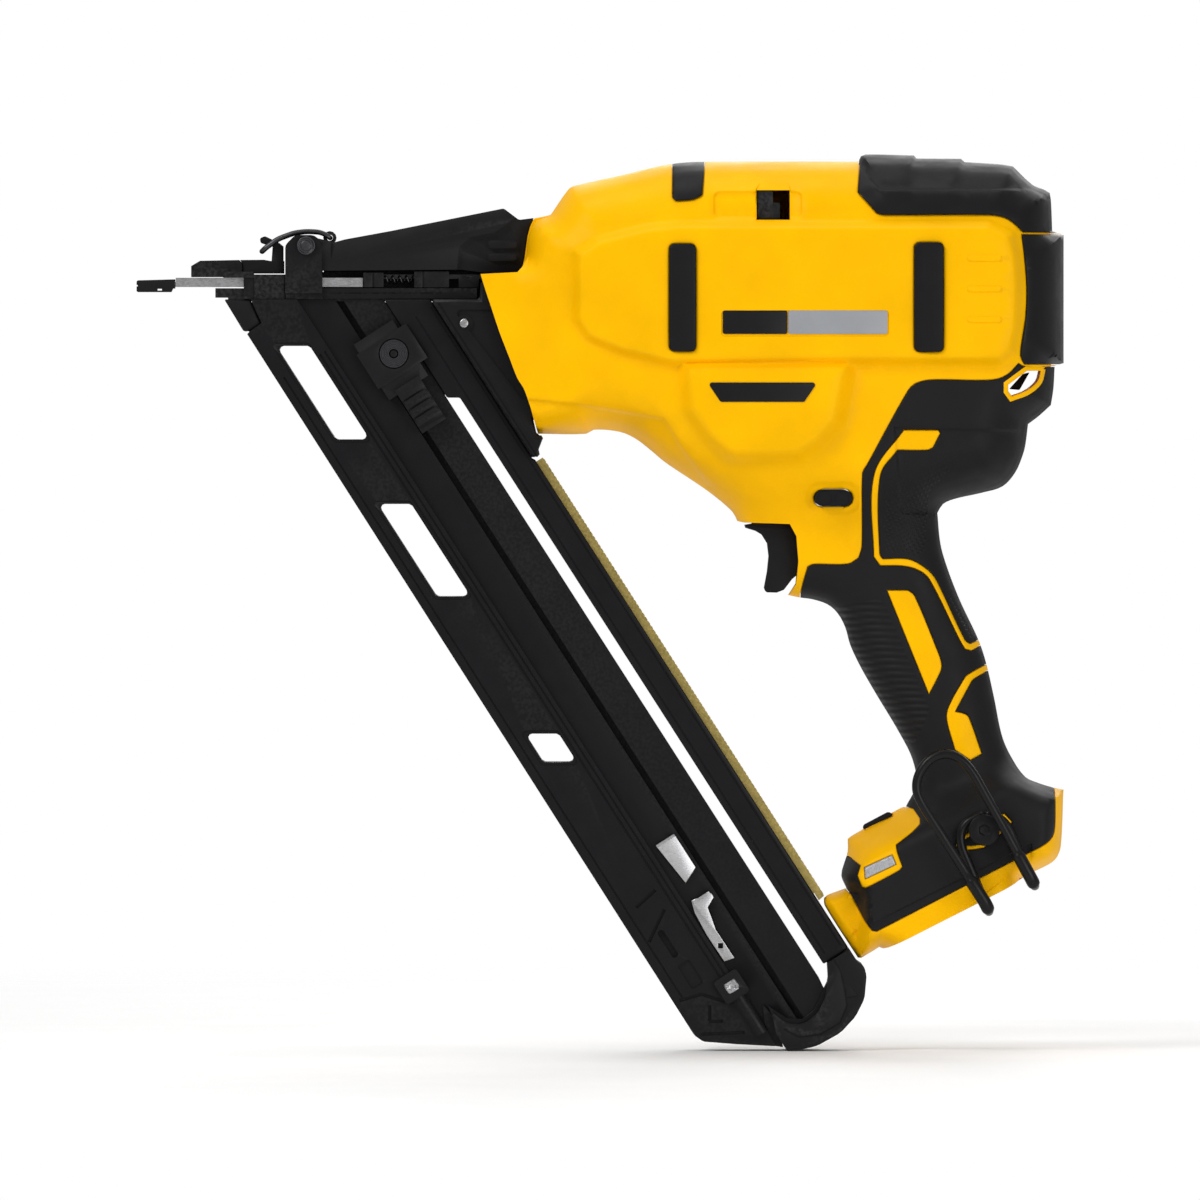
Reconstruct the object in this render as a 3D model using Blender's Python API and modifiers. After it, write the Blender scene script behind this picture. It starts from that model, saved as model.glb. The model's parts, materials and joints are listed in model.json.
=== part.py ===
"""Cordless angled finish nailer, 365 mm long. Millimetres below; meshes are made in metres.

Frame: origin at the centre of the nose pad's front face, drive direction -X, +Z up,
the tool's left side faces -Y.
"""
import math

import bmesh
import bpy
from mathutils import Matrix, Vector, geometry

MM = 0.001
GAP = 0.3                 # running gap between neighbouring pieces
WALL = 4.2                # housing skin to cavity
SKIN = 1.4                # rubber overmould thickness
SEAM = 0.15               # half of the gap between the housing halves
BODY_HALF = 34.0          # half width of the drive housing
GRIP_HALF = 17.5          # half width of the handle
FOOT_HALF = 33.0          # half width of the battery foot
SLANT = math.radians(32.7)    # magazine, from the vertical
MAG_X, MAG_Z = 44.0, -18.5    # top of the magazine's front edge
MOTOR = (246.0, -34.0)    # flywheel axis
ROTOR_R = 26.5
LATCH = (66.8, 16.2)      # latch lever axis
TRIGGER = (243.5, -90.0)  # trigger axis

for old in list(bpy.data.objects):
    bpy.data.objects.remove(old, do_unlink=True)

nailer = bpy.data.collections.new("finish_nailer")
cutters = bpy.data.collections.new("cutters")
bpy.context.scene.collection.children.link(nailer)
bpy.context.scene.collection.children.link(cutters)


def material(name, rgb, rough, metal=0.0):
    mat = bpy.data.materials.new(name)
    mat.use_nodes = True
    shader = mat.node_tree.nodes["Principled BSDF"]
    shader.inputs["Base Color"].default_value = (*rgb, 1.0)
    shader.inputs["Roughness"].default_value = rough
    shader.inputs["Metallic"].default_value = metal
    mat.diffuse_color = (*rgb, 1.0)
    return mat


YELLOW = ((0.95, 0.55, 0.01), 0.38, 0.0)
RUBBER = ((0.016, 0.016, 0.018), 0.62, 0.0)
BLACK = ((0.022, 0.022, 0.024), 0.45, 0.0)
GREY = ((0.13, 0.13, 0.14), 0.5, 0.0)
LENS = ((0.55, 0.56, 0.58), 0.25, 0.0)
STEEL = ((0.62, 0.62, 0.63), 0.3, 1.0)
DARK_STEEL = ((0.06, 0.06, 0.065), 0.4, 1.0)
ZINC = ((0.55, 0.45, 0.24), 0.4, 1.0)
ALU = ((0.5, 0.5, 0.52), 0.4, 1.0)
COPPER = ((0.72, 0.33, 0.12), 0.35, 1.0)


def add(name, mesh, look, group=nailer):
    obj = bpy.data.objects.new(name, mesh)
    group.objects.link(obj)
    if group is cutters:
        obj.hide_render = True
        obj.display_type = "WIRE"
    else:
        mesh.materials.clear()
        mesh.materials.append(material("m_" + name, *look))
    return obj


def to_mesh(obj, name):
    """Evaluated, welded copy of an object as a new mesh in world space; the object is removed."""
    bpy.context.view_layer.update()
    shape = obj.evaluated_get(bpy.context.evaluated_depsgraph_get())
    mesh = bpy.data.meshes.new_from_object(shape)
    mesh.transform(obj.matrix_world)
    bpy.data.objects.remove(obj, do_unlink=True)
    work = bmesh.new()
    work.from_mesh(mesh)
    bmesh.ops.remove_doubles(work, verts=work.verts, dist=1e-7)
    bmesh.ops.recalc_face_normals(work, faces=work.faces)
    work.to_mesh(mesh)
    work.free()
    mesh.name = name
    return mesh


def rounded(corners, sweep=30.0):
    """Outline from corners (a, b) or (a, b, radius), each radius as an arc."""
    out = []
    count = len(corners)
    for i, corner in enumerate(corners):
        p = Vector(corner[:2])
        if len(corner) < 3:
            out.append(p)
            continue
        before = (Vector(corners[i - 1][:2]) - p)
        after = (Vector(corners[(i + 1) % count][:2]) - p)
        half = before.angle(after) / 2
        reach = min(corner[2] / math.tan(half), 0.49 * before.length, 0.49 * after.length)
        radius = reach * math.tan(half)
        before.normalize()
        after.normalize()
        centre = p + (before + after).normalized() * (radius / math.sin(half))
        start = p + before * reach - centre
        end = p + after * reach - centre
        turn = start.angle_signed(end)
        steps = max(1, round(abs(math.degrees(turn)) / sweep))
        for k in range(steps + 1):
            out.append(centre + Matrix.Rotation(-turn * k / steps, 2) @ start)
    return [(v.x, v.y) for v in out]


def disc(a, b, r, sides=16):
    step = 2 * math.pi / sides
    return [(a + r * math.cos(k * step), b + r * math.sin(k * step)) for k in range(sides)]


def sheet(loops, half, frame):
    """Flat outlines (the later ones are holes) given a thickness, placed by a matrix in mm."""
    curve = bpy.data.curves.new("outline", "CURVE")
    curve.dimensions = "2D"
    curve.fill_mode = "BOTH"
    curve.extrude = half * MM
    for loop in loops:
        spline = curve.splines.new("POLY")
        spline.points.add(len(loop) - 1)
        for point, (a, b) in zip(spline.points, loop):
            point.co = (a * MM, b * MM, 0, 1)
        spline.use_cyclic_u = True
    obj = bpy.data.objects.new("outline", curve)
    nailer.objects.link(obj)
    move = frame.copy()
    move.translation *= MM
    obj.matrix_world = move
    return to_mesh(obj, "outline")


def side_frame(y):
    """Outline (x, z), thickness along Y."""
    return Matrix(((1, 0, 0, 0), (0, 0, -1, y), (0, 1, 0, 0), (0, 0, 0, 1)))


def plan_frame(z):
    """Outline (x, y), thickness along Z."""
    return Matrix.Translation((0, 0, z))


def front_frame(x):
    """Outline (y, z), thickness along X."""
    return Matrix(((0, 0, 1, x), (1, 0, 0, 0), (0, 1, 0, 0), (0, 0, 0, 1)))


def magazine_frame(v):
    """Outline (t, y), thickness along the magazine; v is the distance down it."""
    c, s = math.cos(SLANT), math.sin(SLANT)
    x, z = magazine(0, v)
    return Matrix(((c, 0, -s, x), (0, 1, 0, 0), (s, 0, c, z), (0, 0, 0, 1)))


def magazine(t, v):
    """World (x, z) of a point t across and v down the magazine."""
    c, s = math.cos(SLANT), math.sin(SLANT)
    return MAG_X + t * c + v * s, MAG_Z + t * s - v * c


def magazine_at(t, z):
    """World (x, z) of the point t across the magazine at height z."""
    v = (MAG_Z + t * math.sin(SLANT) - z) / math.cos(SLANT)
    return magazine(t, v)


def bevel(obj, width, segments=1, angle=40.0):
    mod = obj.modifiers.new("bevel", "BEVEL")
    mod.width = width * MM
    mod.segments = segments
    mod.limit_method = "ANGLE"
    mod.angle_limit = math.radians(angle)
    mod.use_clamp_overlap = True
    return obj


def side(name, outline, y0, y1, look, holes=(), edge=0.0, group=nailer):
    mesh = sheet([outline, *holes], (y1 - y0) / 2, side_frame((y0 + y1) / 2))
    obj = add(name, mesh, look, group)
    if edge:
        bevel(obj, edge)
    return obj


def plan(name, outline, z0, z1, look, holes=(), edge=0.0, group=nailer):
    mesh = sheet([outline, *holes], (z1 - z0) / 2, plan_frame((z0 + z1) / 2))
    obj = add(name, mesh, look, group)
    if edge:
        bevel(obj, edge)
    return obj


def front(name, outline, x0, x1, look, holes=(), edge=0.0, group=nailer):
    mesh = sheet([outline, *holes], (x1 - x0) / 2, front_frame((x0 + x1) / 2))
    obj = add(name, mesh, look, group)
    if edge:
        bevel(obj, edge)
    return obj


def along(name, section, v0, v1, look, edge=0.0, group=nailer):
    mesh = sheet([section], (v1 - v0) / 2, magazine_frame((v0 + v1) / 2))
    obj = add(name, mesh, look, group)
    if edge:
        bevel(obj, edge)
    return obj


def rect(a0, b0, a1, b1, r=0.0):
    corners = [(a0, b0), (a1, b0), (a1, b1), (a0, b1)]
    return rounded([(*c, r) for c in corners]) if r else corners


def box(name, lo, hi, look=BLACK, group=cutters):
    work = bmesh.new()
    bmesh.ops.create_cube(work, size=1.0)
    size = [(b - a) * MM for a, b in zip(lo, hi)]
    mid = [(a + b) / 2 * MM for a, b in zip(lo, hi)]
    work.transform(Matrix.Translation(mid) @ Matrix.Diagonal((*size, 1)))
    mesh = bpy.data.meshes.new(name)
    work.to_mesh(mesh)
    work.free()
    return add(name, mesh, look, group)


def rod(name, start, end, r, look=STEEL, sides=16, group=nailer, r2=None):
    a, b = Vector(start) * MM, Vector(end) * MM
    work = bmesh.new()
    bmesh.ops.create_cone(
        work, cap_ends=True, segments=sides, depth=(b - a).length,
        radius1=r * MM, radius2=(r if r2 is None else r2) * MM,
    )
    turn = (b - a).to_track_quat("Z", "Y").to_matrix().to_4x4()
    work.transform(Matrix.Translation((a + b) / 2) @ turn)
    mesh = bpy.data.meshes.new(name)
    work.to_mesh(mesh)
    work.free()
    return add(name, mesh, look, group)


def turned(name, profile, centre, look, steps=32, group=nailer):
    """Closed profile (radius, y) turned about an axis along Y through centre (x, z)."""
    mesh = bpy.data.meshes.new(name)
    count = len(profile)
    loop = [(i, (i + 1) % count) for i in range(count)]
    mesh.from_pydata([(r * MM, 0, y * MM) for r, y in profile], loop, [])
    obj = bpy.data.objects.new(name, mesh)
    nailer.objects.link(obj)
    mod = obj.modifiers.new("screw", "SCREW")
    mod.steps = steps
    mod.render_steps = steps
    mod.use_merge_vertices = True
    mod.merge_threshold = 0.00001
    obj.matrix_world = Matrix.Translation((centre[0] * MM, 0, centre[1] * MM)) @ Matrix(
        ((1, 0, 0, 0), (0, 0, 1, 0), (0, -1, 0, 0), (0, 0, 0, 1))
    )
    return add(name, to_mesh(obj, name), look, group)


def wire(name, points, r, look, resolution=2, cyclic=False, group=nailer):
    curve = bpy.data.curves.new(name, "CURVE")
    curve.dimensions = "3D"
    curve.bevel_depth = r * MM
    curve.bevel_resolution = resolution
    curve.use_fill_caps = True
    spline = curve.splines.new("POLY")
    spline.points.add(len(points) - 1)
    for point, p in zip(spline.points, points):
        point.co = (*(Vector(p) * MM), 1)
    spline.use_cyclic_u = cyclic
    obj = bpy.data.objects.new(name, curve)
    nailer.objects.link(obj)
    return add(name, to_mesh(obj, name), look, group)


def coil(name, start, end, r, wire_r, turns, look=STEEL, sides=8):
    a, b = Vector(start), Vector(end)
    axis = (b - a).normalized()
    u = axis.orthogonal().normalized()
    w = axis.cross(u)
    count = turns * sides
    points = []
    for k in range(count + 1):
        spin = 2 * math.pi * k / sides
        points.append(a + (b - a) * (k / count) + r * (u * math.cos(spin) + w * math.sin(spin)))
    return wire(name, points, wire_r, look, resolution=0)


def combine(obj, other, how="DIFFERENCE"):
    mod = obj.modifiers.new(how.lower(), "BOOLEAN")
    mod.operation = how
    mod.solver = "EXACT"
    mod.object = other
    return obj


def pivot(obj, x, y, z):
    """The object's origin goes to a point on its joint's axis."""
    at = Vector((x, y, z)) * MM
    obj.data.transform(Matrix.Translation(-at))
    obj.location = at
    return obj


# ---------------------------------------------------------------- housing outline
LOWER_FRONT = [(158, -57.8), (177, -57.8), (180, -56.2), (190, -57), (196, -59.5), (202, -64),
               (208, -69), (225, -80.5), (234.5, -88.5), (236.5, -92.2)]
TRIGGER_GAP = [(239, -92.7), (257, -93.2), (259.6, -98), (260.4, -108), (259.5, -117)]
GRIP_FRONT = [(256.5, -121.3), (261, -122.3), (266, -123), (272, -125), (276, -128.5),
              (279, -134), (281, -141), (285, -149.5), (291, -160), (300, -175), (305.5, -186),
              (307, -196), (303, -204.6), (301, -205.2), (282, -216), (280, -217.5), (280, -222.5),
              (278.3, -228), (277.5, -232), (279.5, -236.8), (272, -239.6), (270.7, -240.8),
              (270.9, -243.6), (284, -264.2), (285.4, -264.3), (292.5, -260), (294, -260.6)]
BACK = [(353, -230.5), (360, -227), (362.5, -224.5), (364, -220), (365, -198), (361.3, -197.3),
        (354, -195), (350, -193), (345.5, -187), (341, -177.5), (337.5, -161), (334.5, -148),
        (331.5, -139), (324, -123), (319, -110), (316.5, -101), (315.3, -89), (317.5, -85.5),
        (322, -83.5), (333, -81), (341, -78.5), (346, -73), (349, -66), (350, -62), (351, -54),
        (355, -51), (360, -46.5), (361, -40), (361.5, -31), (365, -30), (365, 20.5),
        (360.5, 22), (360, 34), (359.5, 37), (357, 38.5), (353, 40), (345, 47.5), (340, 48.3),
        (326, 49.2), (324.5, 50.5), (307, 50.6), (306, 51.8), (287, 52.2), (285.2, 51.5),
        (284.2, 49.4), (226, 49.3), (211, 48.5), (190, 43.8), (172, 39.7), (170, 38.5),
        (163, 28.5), (156.5, 26.5), (154, 21), (152.8, 12)]
FRONT_EDGE = [(152, 8), (150, 5.7), (135.5, 5), (137, 0), (140, -9), (143, -18), (146.5, -27),
              (150, -36), (152.5, -40), (155, -47)]
FOOT_EDGE = [(294 + 59 * k / 10, -260.6 + 30.1 * k / 10) for k in range(1, 10)]
SILHOUETTE = LOWER_FRONT + TRIGGER_GAP + GRIP_FRONT + FOOT_EDGE + BACK + FRONT_EDGE


def extended(chain, first=True, last=True, by=6.0):
    out = [Vector(p) for p in chain]
    if first:
        out.insert(0, out[0] + (out[0] - out[1]).normalized() * by)
    if last:
        out.append(out[-1] + (out[-1] - out[-2]).normalized() * by)
    return out


CLOSED = [extended(LOWER_FRONT), extended(GRIP_FRONT), extended(BACK, last=False)]

# regions covered by rubber or separate covers: outline, how far it stands proud
LANYARD = [(342.5, -41), (342.5, -38.5), (350, -33), (355.5, -33), (354.3, -37), (350, -40.7),
           (344, -43)]
OVERMOULD = [(346.5, -30), (342, -34.5), (336, -36.5), (312, -36.5), (306, -38), (303, -41),
             (287, -70), (285.3, -73), (285.3, -102), (284, -106.5), (280, -108.8), (266, -109),
             (264, -110), (261.5, -119), (261, -123.5), (258, -130), (262, -150), (280, -190),
             (296, -204), (303, -204.8), (305.5, -205.3), (308, -209), (308, -211), (305, -214),
             (298.5, -219), (299, -222), (301, -227.5), (300, -228.8), (286.5, -236),
             (285.2, -235.5), (283.4, -231), (284.7, -227), (280, -224), (274, -224),
             (272, -233), (279.5, -237.2), (286.5, -249.5), (289, -252.7), (291, -253),
             (350, -222.5), (357, -218.8), (360, -216), (361, -212), (361.2, -196.5),
             (362, -190), (347, -170), (345, -150), (330, -100), (352, -90), (368, -62),
             (368, -31.2), (349, -31.2)]
REAR_BUMPER = [(284.3, 60), (284.3, 48), (283.5, 37), (291, 28.5), (293, 28), (335, 28), (341, 27),
               (345, 24.5), (348.4, 21.2), (370, 21.2), (370, 60)]
REAR_VENT = [(347.7, 20.6), (348.7, 12), (349.6, 0), (349.2, -12), (347.2, -27), (348.9, -30.6),
             (370, -30.6), (370, 20.6)]
PAD_FRONT = rounded([(209.5, -25.5, 2), (220, -25.5, 2), (220, 16.8, 2), (209.5, 16.8, 2)], 45)
PAD_REAR = rounded([(305.5, -25.7, 2), (317, -25.7, 2), (317, 17.3, 2), (305.5, 17.3, 2)], 45)
TOP_PAD = [(210.8, 60), (210.8, 35), (212, 33.5), (219, 34.2), (222.5, 36), (223.5, 47.5),
           (224, 60)]
LED_LENS = [(286.4, -232.4), (298.6, -226.6), (297, -222.8), (286, -227.8)]
BUTTON = rounded([(285.5, -214.3, 1), (285.8, -211.6, 1), (296, -206.2, 1.2),
                  (299, -208, 1.2)], 45)
STALL_WINDOW = [(243.8, 26.2), (256.8, 26.2), (256.8, 37.8), (243.8, 37.8)]
LOCK_SLOT = rounded([(266.3, -86.5, 3.4), (281.7, -86.5, 3.4), (281.7, -79.5, 3.4),
                     (266.3, -79.5, 3.4)], 45)
PANEL = [(170.5, -14), (170.5, 15), (180, 20.5), (200, 25.5), (213, 27), (335, 27), (346, 22),
         (348.5, 12), (349.4, 0), (348.8, -15), (346.5, -27), (340, -32), (284, -32), (211, -33),
         (190, -28), (176, -22)]
BULGE = [(211, -26), (211, -34), (213, -50), (222, -63), (230, -70), (235, -71.5), (262, -71),
         (272, -64.5), (280, -55), (284, -34), (284, -26)]
SKINS = {
    "overmould": (OVERMOULD, 0.0),
    "rear_bumper": (REAR_BUMPER, 1.2),
    "rear_vent": (REAR_VENT, 0.3),
    "side_pad_front": (PAD_FRONT, 1.6),
    "side_pad_rear": (PAD_REAR, 1.6),
    "top_pad": (TOP_PAD, 1.4),
    "led_lens": (LED_LENS, 0.2),
}
HOOK_SCREW = (333, -213)
SCREWS = [(183, 31), (291, -50)]


def segment_distance(p, a, b):
    ab = b - a
    k = max(0.0, min(1.0, (p - a).dot(ab) / ab.length_squared))
    return (p - a - ab * k).length


def chain_distance(p, chain):
    return min(segment_distance(p, chain[i], chain[i + 1]) for i in range(len(chain) - 1))


def inside(p, polygon):
    hit = False
    for i, (x1, z1) in enumerate(polygon):
        x0, z0 = polygon[i - 1]
        if (z1 > p[1]) != (z0 > p[1]) and p[0] < (x0 - x1) * (p[1] - z1) / (z0 - z1) + x1:
            hit = not hit
    return hit


def depth_in(p, polygon):
    """Distance to a polygon's edge, positive inside."""
    ring = [Vector(v) for v in polygon]
    d = min(segment_distance(p, ring[i - 1], ring[i]) for i in range(len(ring)))
    return d if inside(p, polygon) else -d


def smooth(u):
    u = max(0.0, min(1.0, u))
    return u * u * (3 - 2 * u)


def edge_distance(p):
    return min(chain_distance(p, chain) for chain in CLOSED)


def half_width(x, z):
    wide = 24 + (BODY_HALF - 24) * smooth((x - 138) / 40)
    wide += (GRIP_HALF - wide) * smooth((-66 - z) / 34) * smooth((x - 205) / 15)
    down = -0.453 * x + 0.891 * z
    if z < -150:
        wide += (FOOT_HALF - wide) * smooth((-318 - down) / 16)
        wide += (15 - wide) * smooth((289 - x) / 6) * smooth((-234 - z) / 5)
    return wide


def edge_radius(x, z):
    r = 9 + 13 * smooth((x - 150) / 40)
    r += (16.5 - r) * smooth((-66 - z) / 34) * smooth((x - 205) / 15)
    down = -0.453 * x + 0.891 * z
    if z < -150:
        r += (9 - r) * smooth((-318 - down) / 16)
        r += (4 - r) * smooth((289 - x) / 6) * smooth((-234 - z) / 5)
    return r


def skin_depth(x, z):
    """Distance of the housing's outer surface from its middle plane."""
    p = Vector((x, z))
    u = min(1.0, edge_distance(p) / edge_radius(x, z))
    d = half_width(x, z) * math.sqrt(1 - (1 - u) ** 2)
    rise = 0.0
    if 165 < x < 352 and -80 < z < 30:
        rise = max(6 * smooth(depth_in(p, PANEL) / 5), 7 * smooth(depth_in(p, BULGE) / 8))
    return max(d + rise, 1.2)


def offset(chain, d):
    """A chain shifted to its left by d."""
    out = []
    for i, p in enumerate(chain):
        legs = []
        if i > 0:
            legs.append((p - chain[i - 1]).normalized())
        if i < len(chain) - 1:
            legs.append((chain[i + 1] - p).normalized())
        n = sum((Vector((-e.y, e.x)) for e in legs), Vector((0, 0))).normalized()
        first = Vector((-legs[0].y, legs[0].x))
        out.append(p + n * (d / max(0.5, n.dot(first))))
    return out


def ring_offset(polygon, d):
    """A closed polygon shifted inwards by d (d < 0 for outwards)."""
    ring = [Vector(v) for v in polygon]
    area = sum(ring[i - 1].x * ring[i].y - ring[i].x * ring[i - 1].y for i in range(len(ring)))
    sign = 1 if area > 0 else -1
    wrap = [ring[-1], *ring, ring[0]]
    out = []
    for i in range(1, len(wrap) - 1):
        a = (wrap[i] - wrap[i - 1]).normalized()
        b = (wrap[i + 1] - wrap[i]).normalized()
        n = (Vector((-a.y, a.x)) + Vector((-b.y, b.x))).normalized() * sign
        out.append(wrap[i] + n * (d / max(0.5, n.dot(Vector((-a.y, a.x)) * sign))))
    return out


def housing_cells():
    """Triangles over the side view: points, triangles and what each one is."""
    points, edges = [], []

    def trace(chain, closed):
        first = len(points)
        points.extend(Vector(p) for p in chain)
        last = len(points)
        edges.extend((i, i + 1) for i in range(first, last - 1))
        if closed:
            edges.append((last - 1, first))

    trace(SILHOUETTE, True)
    trace(rect(100, -300, 400, 90), True)
    for chain in CLOSED:
        trace(offset(chain, WALL), False)
    arc = [(BACK[-1][0] + WALL * math.cos(a), BACK[-1][1] + WALL * math.sin(a))
           for a in (math.radians(k) for k in (-10, -50, -90, -130, -180))]
    trace(arc, False)
    covered = [s for s, _ in SKINS.values()]
    for d in (SKIN, SKIN + GAP):
        for chain in CLOSED:
            run = []
            for q in offset(chain, d):
                if any(inside(q, s) for s in covered):
                    run.append(q)
                elif run:
                    if len(run) > 1:
                        trace(run, False)
                    run = []
            if len(run) > 1:
                trace(run, False)
    for polygon, _ in SKINS.values():
        for d in (-SEAM, SEAM):
            trace(ring_offset(polygon, d), True)
    trace(ring_offset(PANEL, 0.0), True)
    trace(ring_offset(PANEL, 5.0), True)
    trace(ring_offset(BULGE, 0.0)[1:-1], False)
    trace(ring_offset(BULGE, 8.0)[1:-1], False)
    trace(LANYARD, True)
    trace(ring_offset(LANYARD, -1.8), True)
    trace(ring_offset(LANYARD, -3.4), True)
    for hole in (STALL_WINDOW, LOCK_SLOT, BUTTON):
        trace(hole, True)
    trace(ring_offset(BUTTON, -2.0), True)
    for x, z in SCREWS:
        for r in (1.6, 3.4, 4.8):
            trace(disc(x, z, r, 8), True)
    for r in (2.3, 5.5):
        trace(disc(*HOOK_SCREW, r, 8), True)
    ringed = len(points)
    for d, pitch in ((8.5, 12.0), (15.0, 16.0)):
        for chain in CLOSED:
            far = offset(chain, d)
            for i in range(len(far) - 1):
                count = max(1, int((far[i + 1] - far[i]).length / pitch))
                for k in range(count):
                    q = far[i].lerp(far[i + 1], k / count)
                    if inside(q, SILHOUETTE) and edge_distance(q) > 0.9 * d:
                        points.append(q)
    for i in range(135, 366, 18):
        for j in range(-262, 53, 18):
            q = Vector((i + (9 if j % 4 else 0), j))
            if inside(q, SILHOUETTE) and edge_distance(q) > 18:
                points.append(q)
    kept = points[:ringed]
    for q in points[ringed:]:
        if all((q - p).length > 5 for p in kept):
            kept.append(q)
    verts, _, faces, _, _, _ = geometry.delaunay_2d_cdt(kept, edges, [], 0, 0.05)
    cells = []
    for face in faces:
        mid = (verts[face[0]] + verts[face[1]] + verts[face[2]]) / 3
        cells.append((tuple(face), mid))
    return verts, cells


POINTS, CELLS = housing_cells()
DEPTH = [skin_depth(p.x, p.y) for p in POINTS]
KIND = []
for face, mid in CELLS:
    where = {name: depth_in(mid, poly) for name, (poly, _) in SKINS.items()}
    where["ring"] = depth_in(mid, LANYARD)
    where["edge"] = edge_distance(mid)
    where["button"] = depth_in(mid, BUTTON)
    where["window"] = inside(mid, STALL_WINDOW)
    where["lock"] = inside(mid, LOCK_SLOT)
    where["hook"] = (mid - Vector(HOOK_SCREW)).length
    where["out"] = not inside(mid, SILHOUETTE)
    where["screw"] = min((mid - Vector(s)).length for s in SCREWS)
    KIND.append(where)


def shell_cells(hand):
    """Top and bottom level of each cell of the housing half, or None where it is open."""
    out = []
    for k in KIND:
        skin = [n for n in SKINS if k[n] > -SEAM and not (n == "led_lens" and hand > 0)]
        if k["ring"] > -1.8:
            skin = [n for n in skin if n != "overmould"]
        open_here = k["out"] or k["ring"] > 0 or k["lock"] or k["hook"] < 2.2 or (k["window"] and hand < 0)
        if open_here or (skin and k["edge"] < SKIN + GAP):
            out.append(None)
            continue
        top = "under" if skin else "outer"
        low = "cavity"
        if k["edge"] < WALL or k["ring"] > -3.4 or k["button"] > -2.0:
            low = "rim"
        if k["hook"] < 5.2:
            low = "rim"
        if k["screw"] < 4.7:
            low = "rim"
            if hand > 0 and k["screw"] < 3.3:
                top = "counterbore"
            if k["screw"] < 1.5:
                if hand > 0:
                    out.append(None)
                    continue
                low = "blind"
        if k["button"] > 0 and hand < 0:
            top = "well"
        out.append((top, low))
    return out


def skin_cells(name, hand):
    out = []
    for k in KIND:
        hidden = k["out"] or k[name] < SEAM or k["ring"] > -2.1 and name == "overmould"
        hidden = hidden or (hand > 0 and k["screw"] < 4.6) or k["hook"] < 2.2
        hidden = hidden or (name == "overmould" and k["button"] > -0.3)
        hidden = hidden or any(k[o] > -SEAM for o in SKINS if o != name and o == "led_lens")
        if hidden:
            out.append(None)
        else:
            rim = "lap" if name in ONE_PIECE else "rim"
            out.append((name, rim if k["edge"] < SKIN else "skin_back"))
    return out


def level(key, i):
    d = DEPTH[i]
    if key in SKINS:
        return d + SKINS[key][1]
    x, z = POINTS[i]
    if key == "cavity":
        slot = 236 < x < 266 and -124 < z < -86
        return max(0.6, min(d - WALL, 10.2 if slot else 99))
    if key == "counterbore":
        return max(d - 5.5, 3.0)
    return {"outer": d, "under": max(d - SKIN - GAP, 0.35), "skin_back": max(d - SKIN, 0.65),
            "rim": SEAM, "lap": -0.05, "blind": max(d - 6, 1.0), "well": d - 3.4}[key]


def fans():
    """The cells round each point, in turn."""
    around = {}
    for n, (face, mid) in enumerate(CELLS):
        for i in face:
            spoke = mid - POINTS[i]
            around.setdefault(i, []).append((math.atan2(spoke.y, spoke.x), n))
    return {i: [n for _, n in sorted(spokes)] for i, spokes in around.items()}


def cell_area(n):
    a, b, c = (POINTS[i] for i in CELLS[n][0])
    return abs((b - a).cross(c - a)) / 2


FANS = fans()


def mended(chosen):
    """Cells that would touch only along one upright edge are joined or parted."""
    for _ in range(6):
        changed = False
        for i, fan in FANS.items():
            marks = sorted({round(level(k, i), 4) for n in fan if chosen[n] for k in chosen[n]})
            for y0, y1 in zip(marks, marks[1:]):
                mid = (y0 + y1) / 2
                full = [bool(chosen[n]) and level(chosen[n][1], i) < mid < level(chosen[n][0], i)
                        for n in fan]
                turns = [k for k in range(len(fan)) if full[k] != full[k - 1]]
                if len(turns) < 4:
                    continue
                runs = []
                for a, b in zip(turns, turns[1:] + [turns[0] + len(fan)]):
                    run = [k % len(fan) for k in range(a, b)]
                    area = sum(cell_area(fan[k]) for k in run)
                    runs.append((area + (0 if full[run[0]] else 6), run))
                run = min(r for r in runs if not any(KIND[fan[k]]["out"] for k in r[1]))[1]
                for k in run:
                    chosen[fan[k]] = chosen[fan[run[0] - 1]]
                changed = True
                break
        if not changed:
            return chosen
    return chosen


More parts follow.
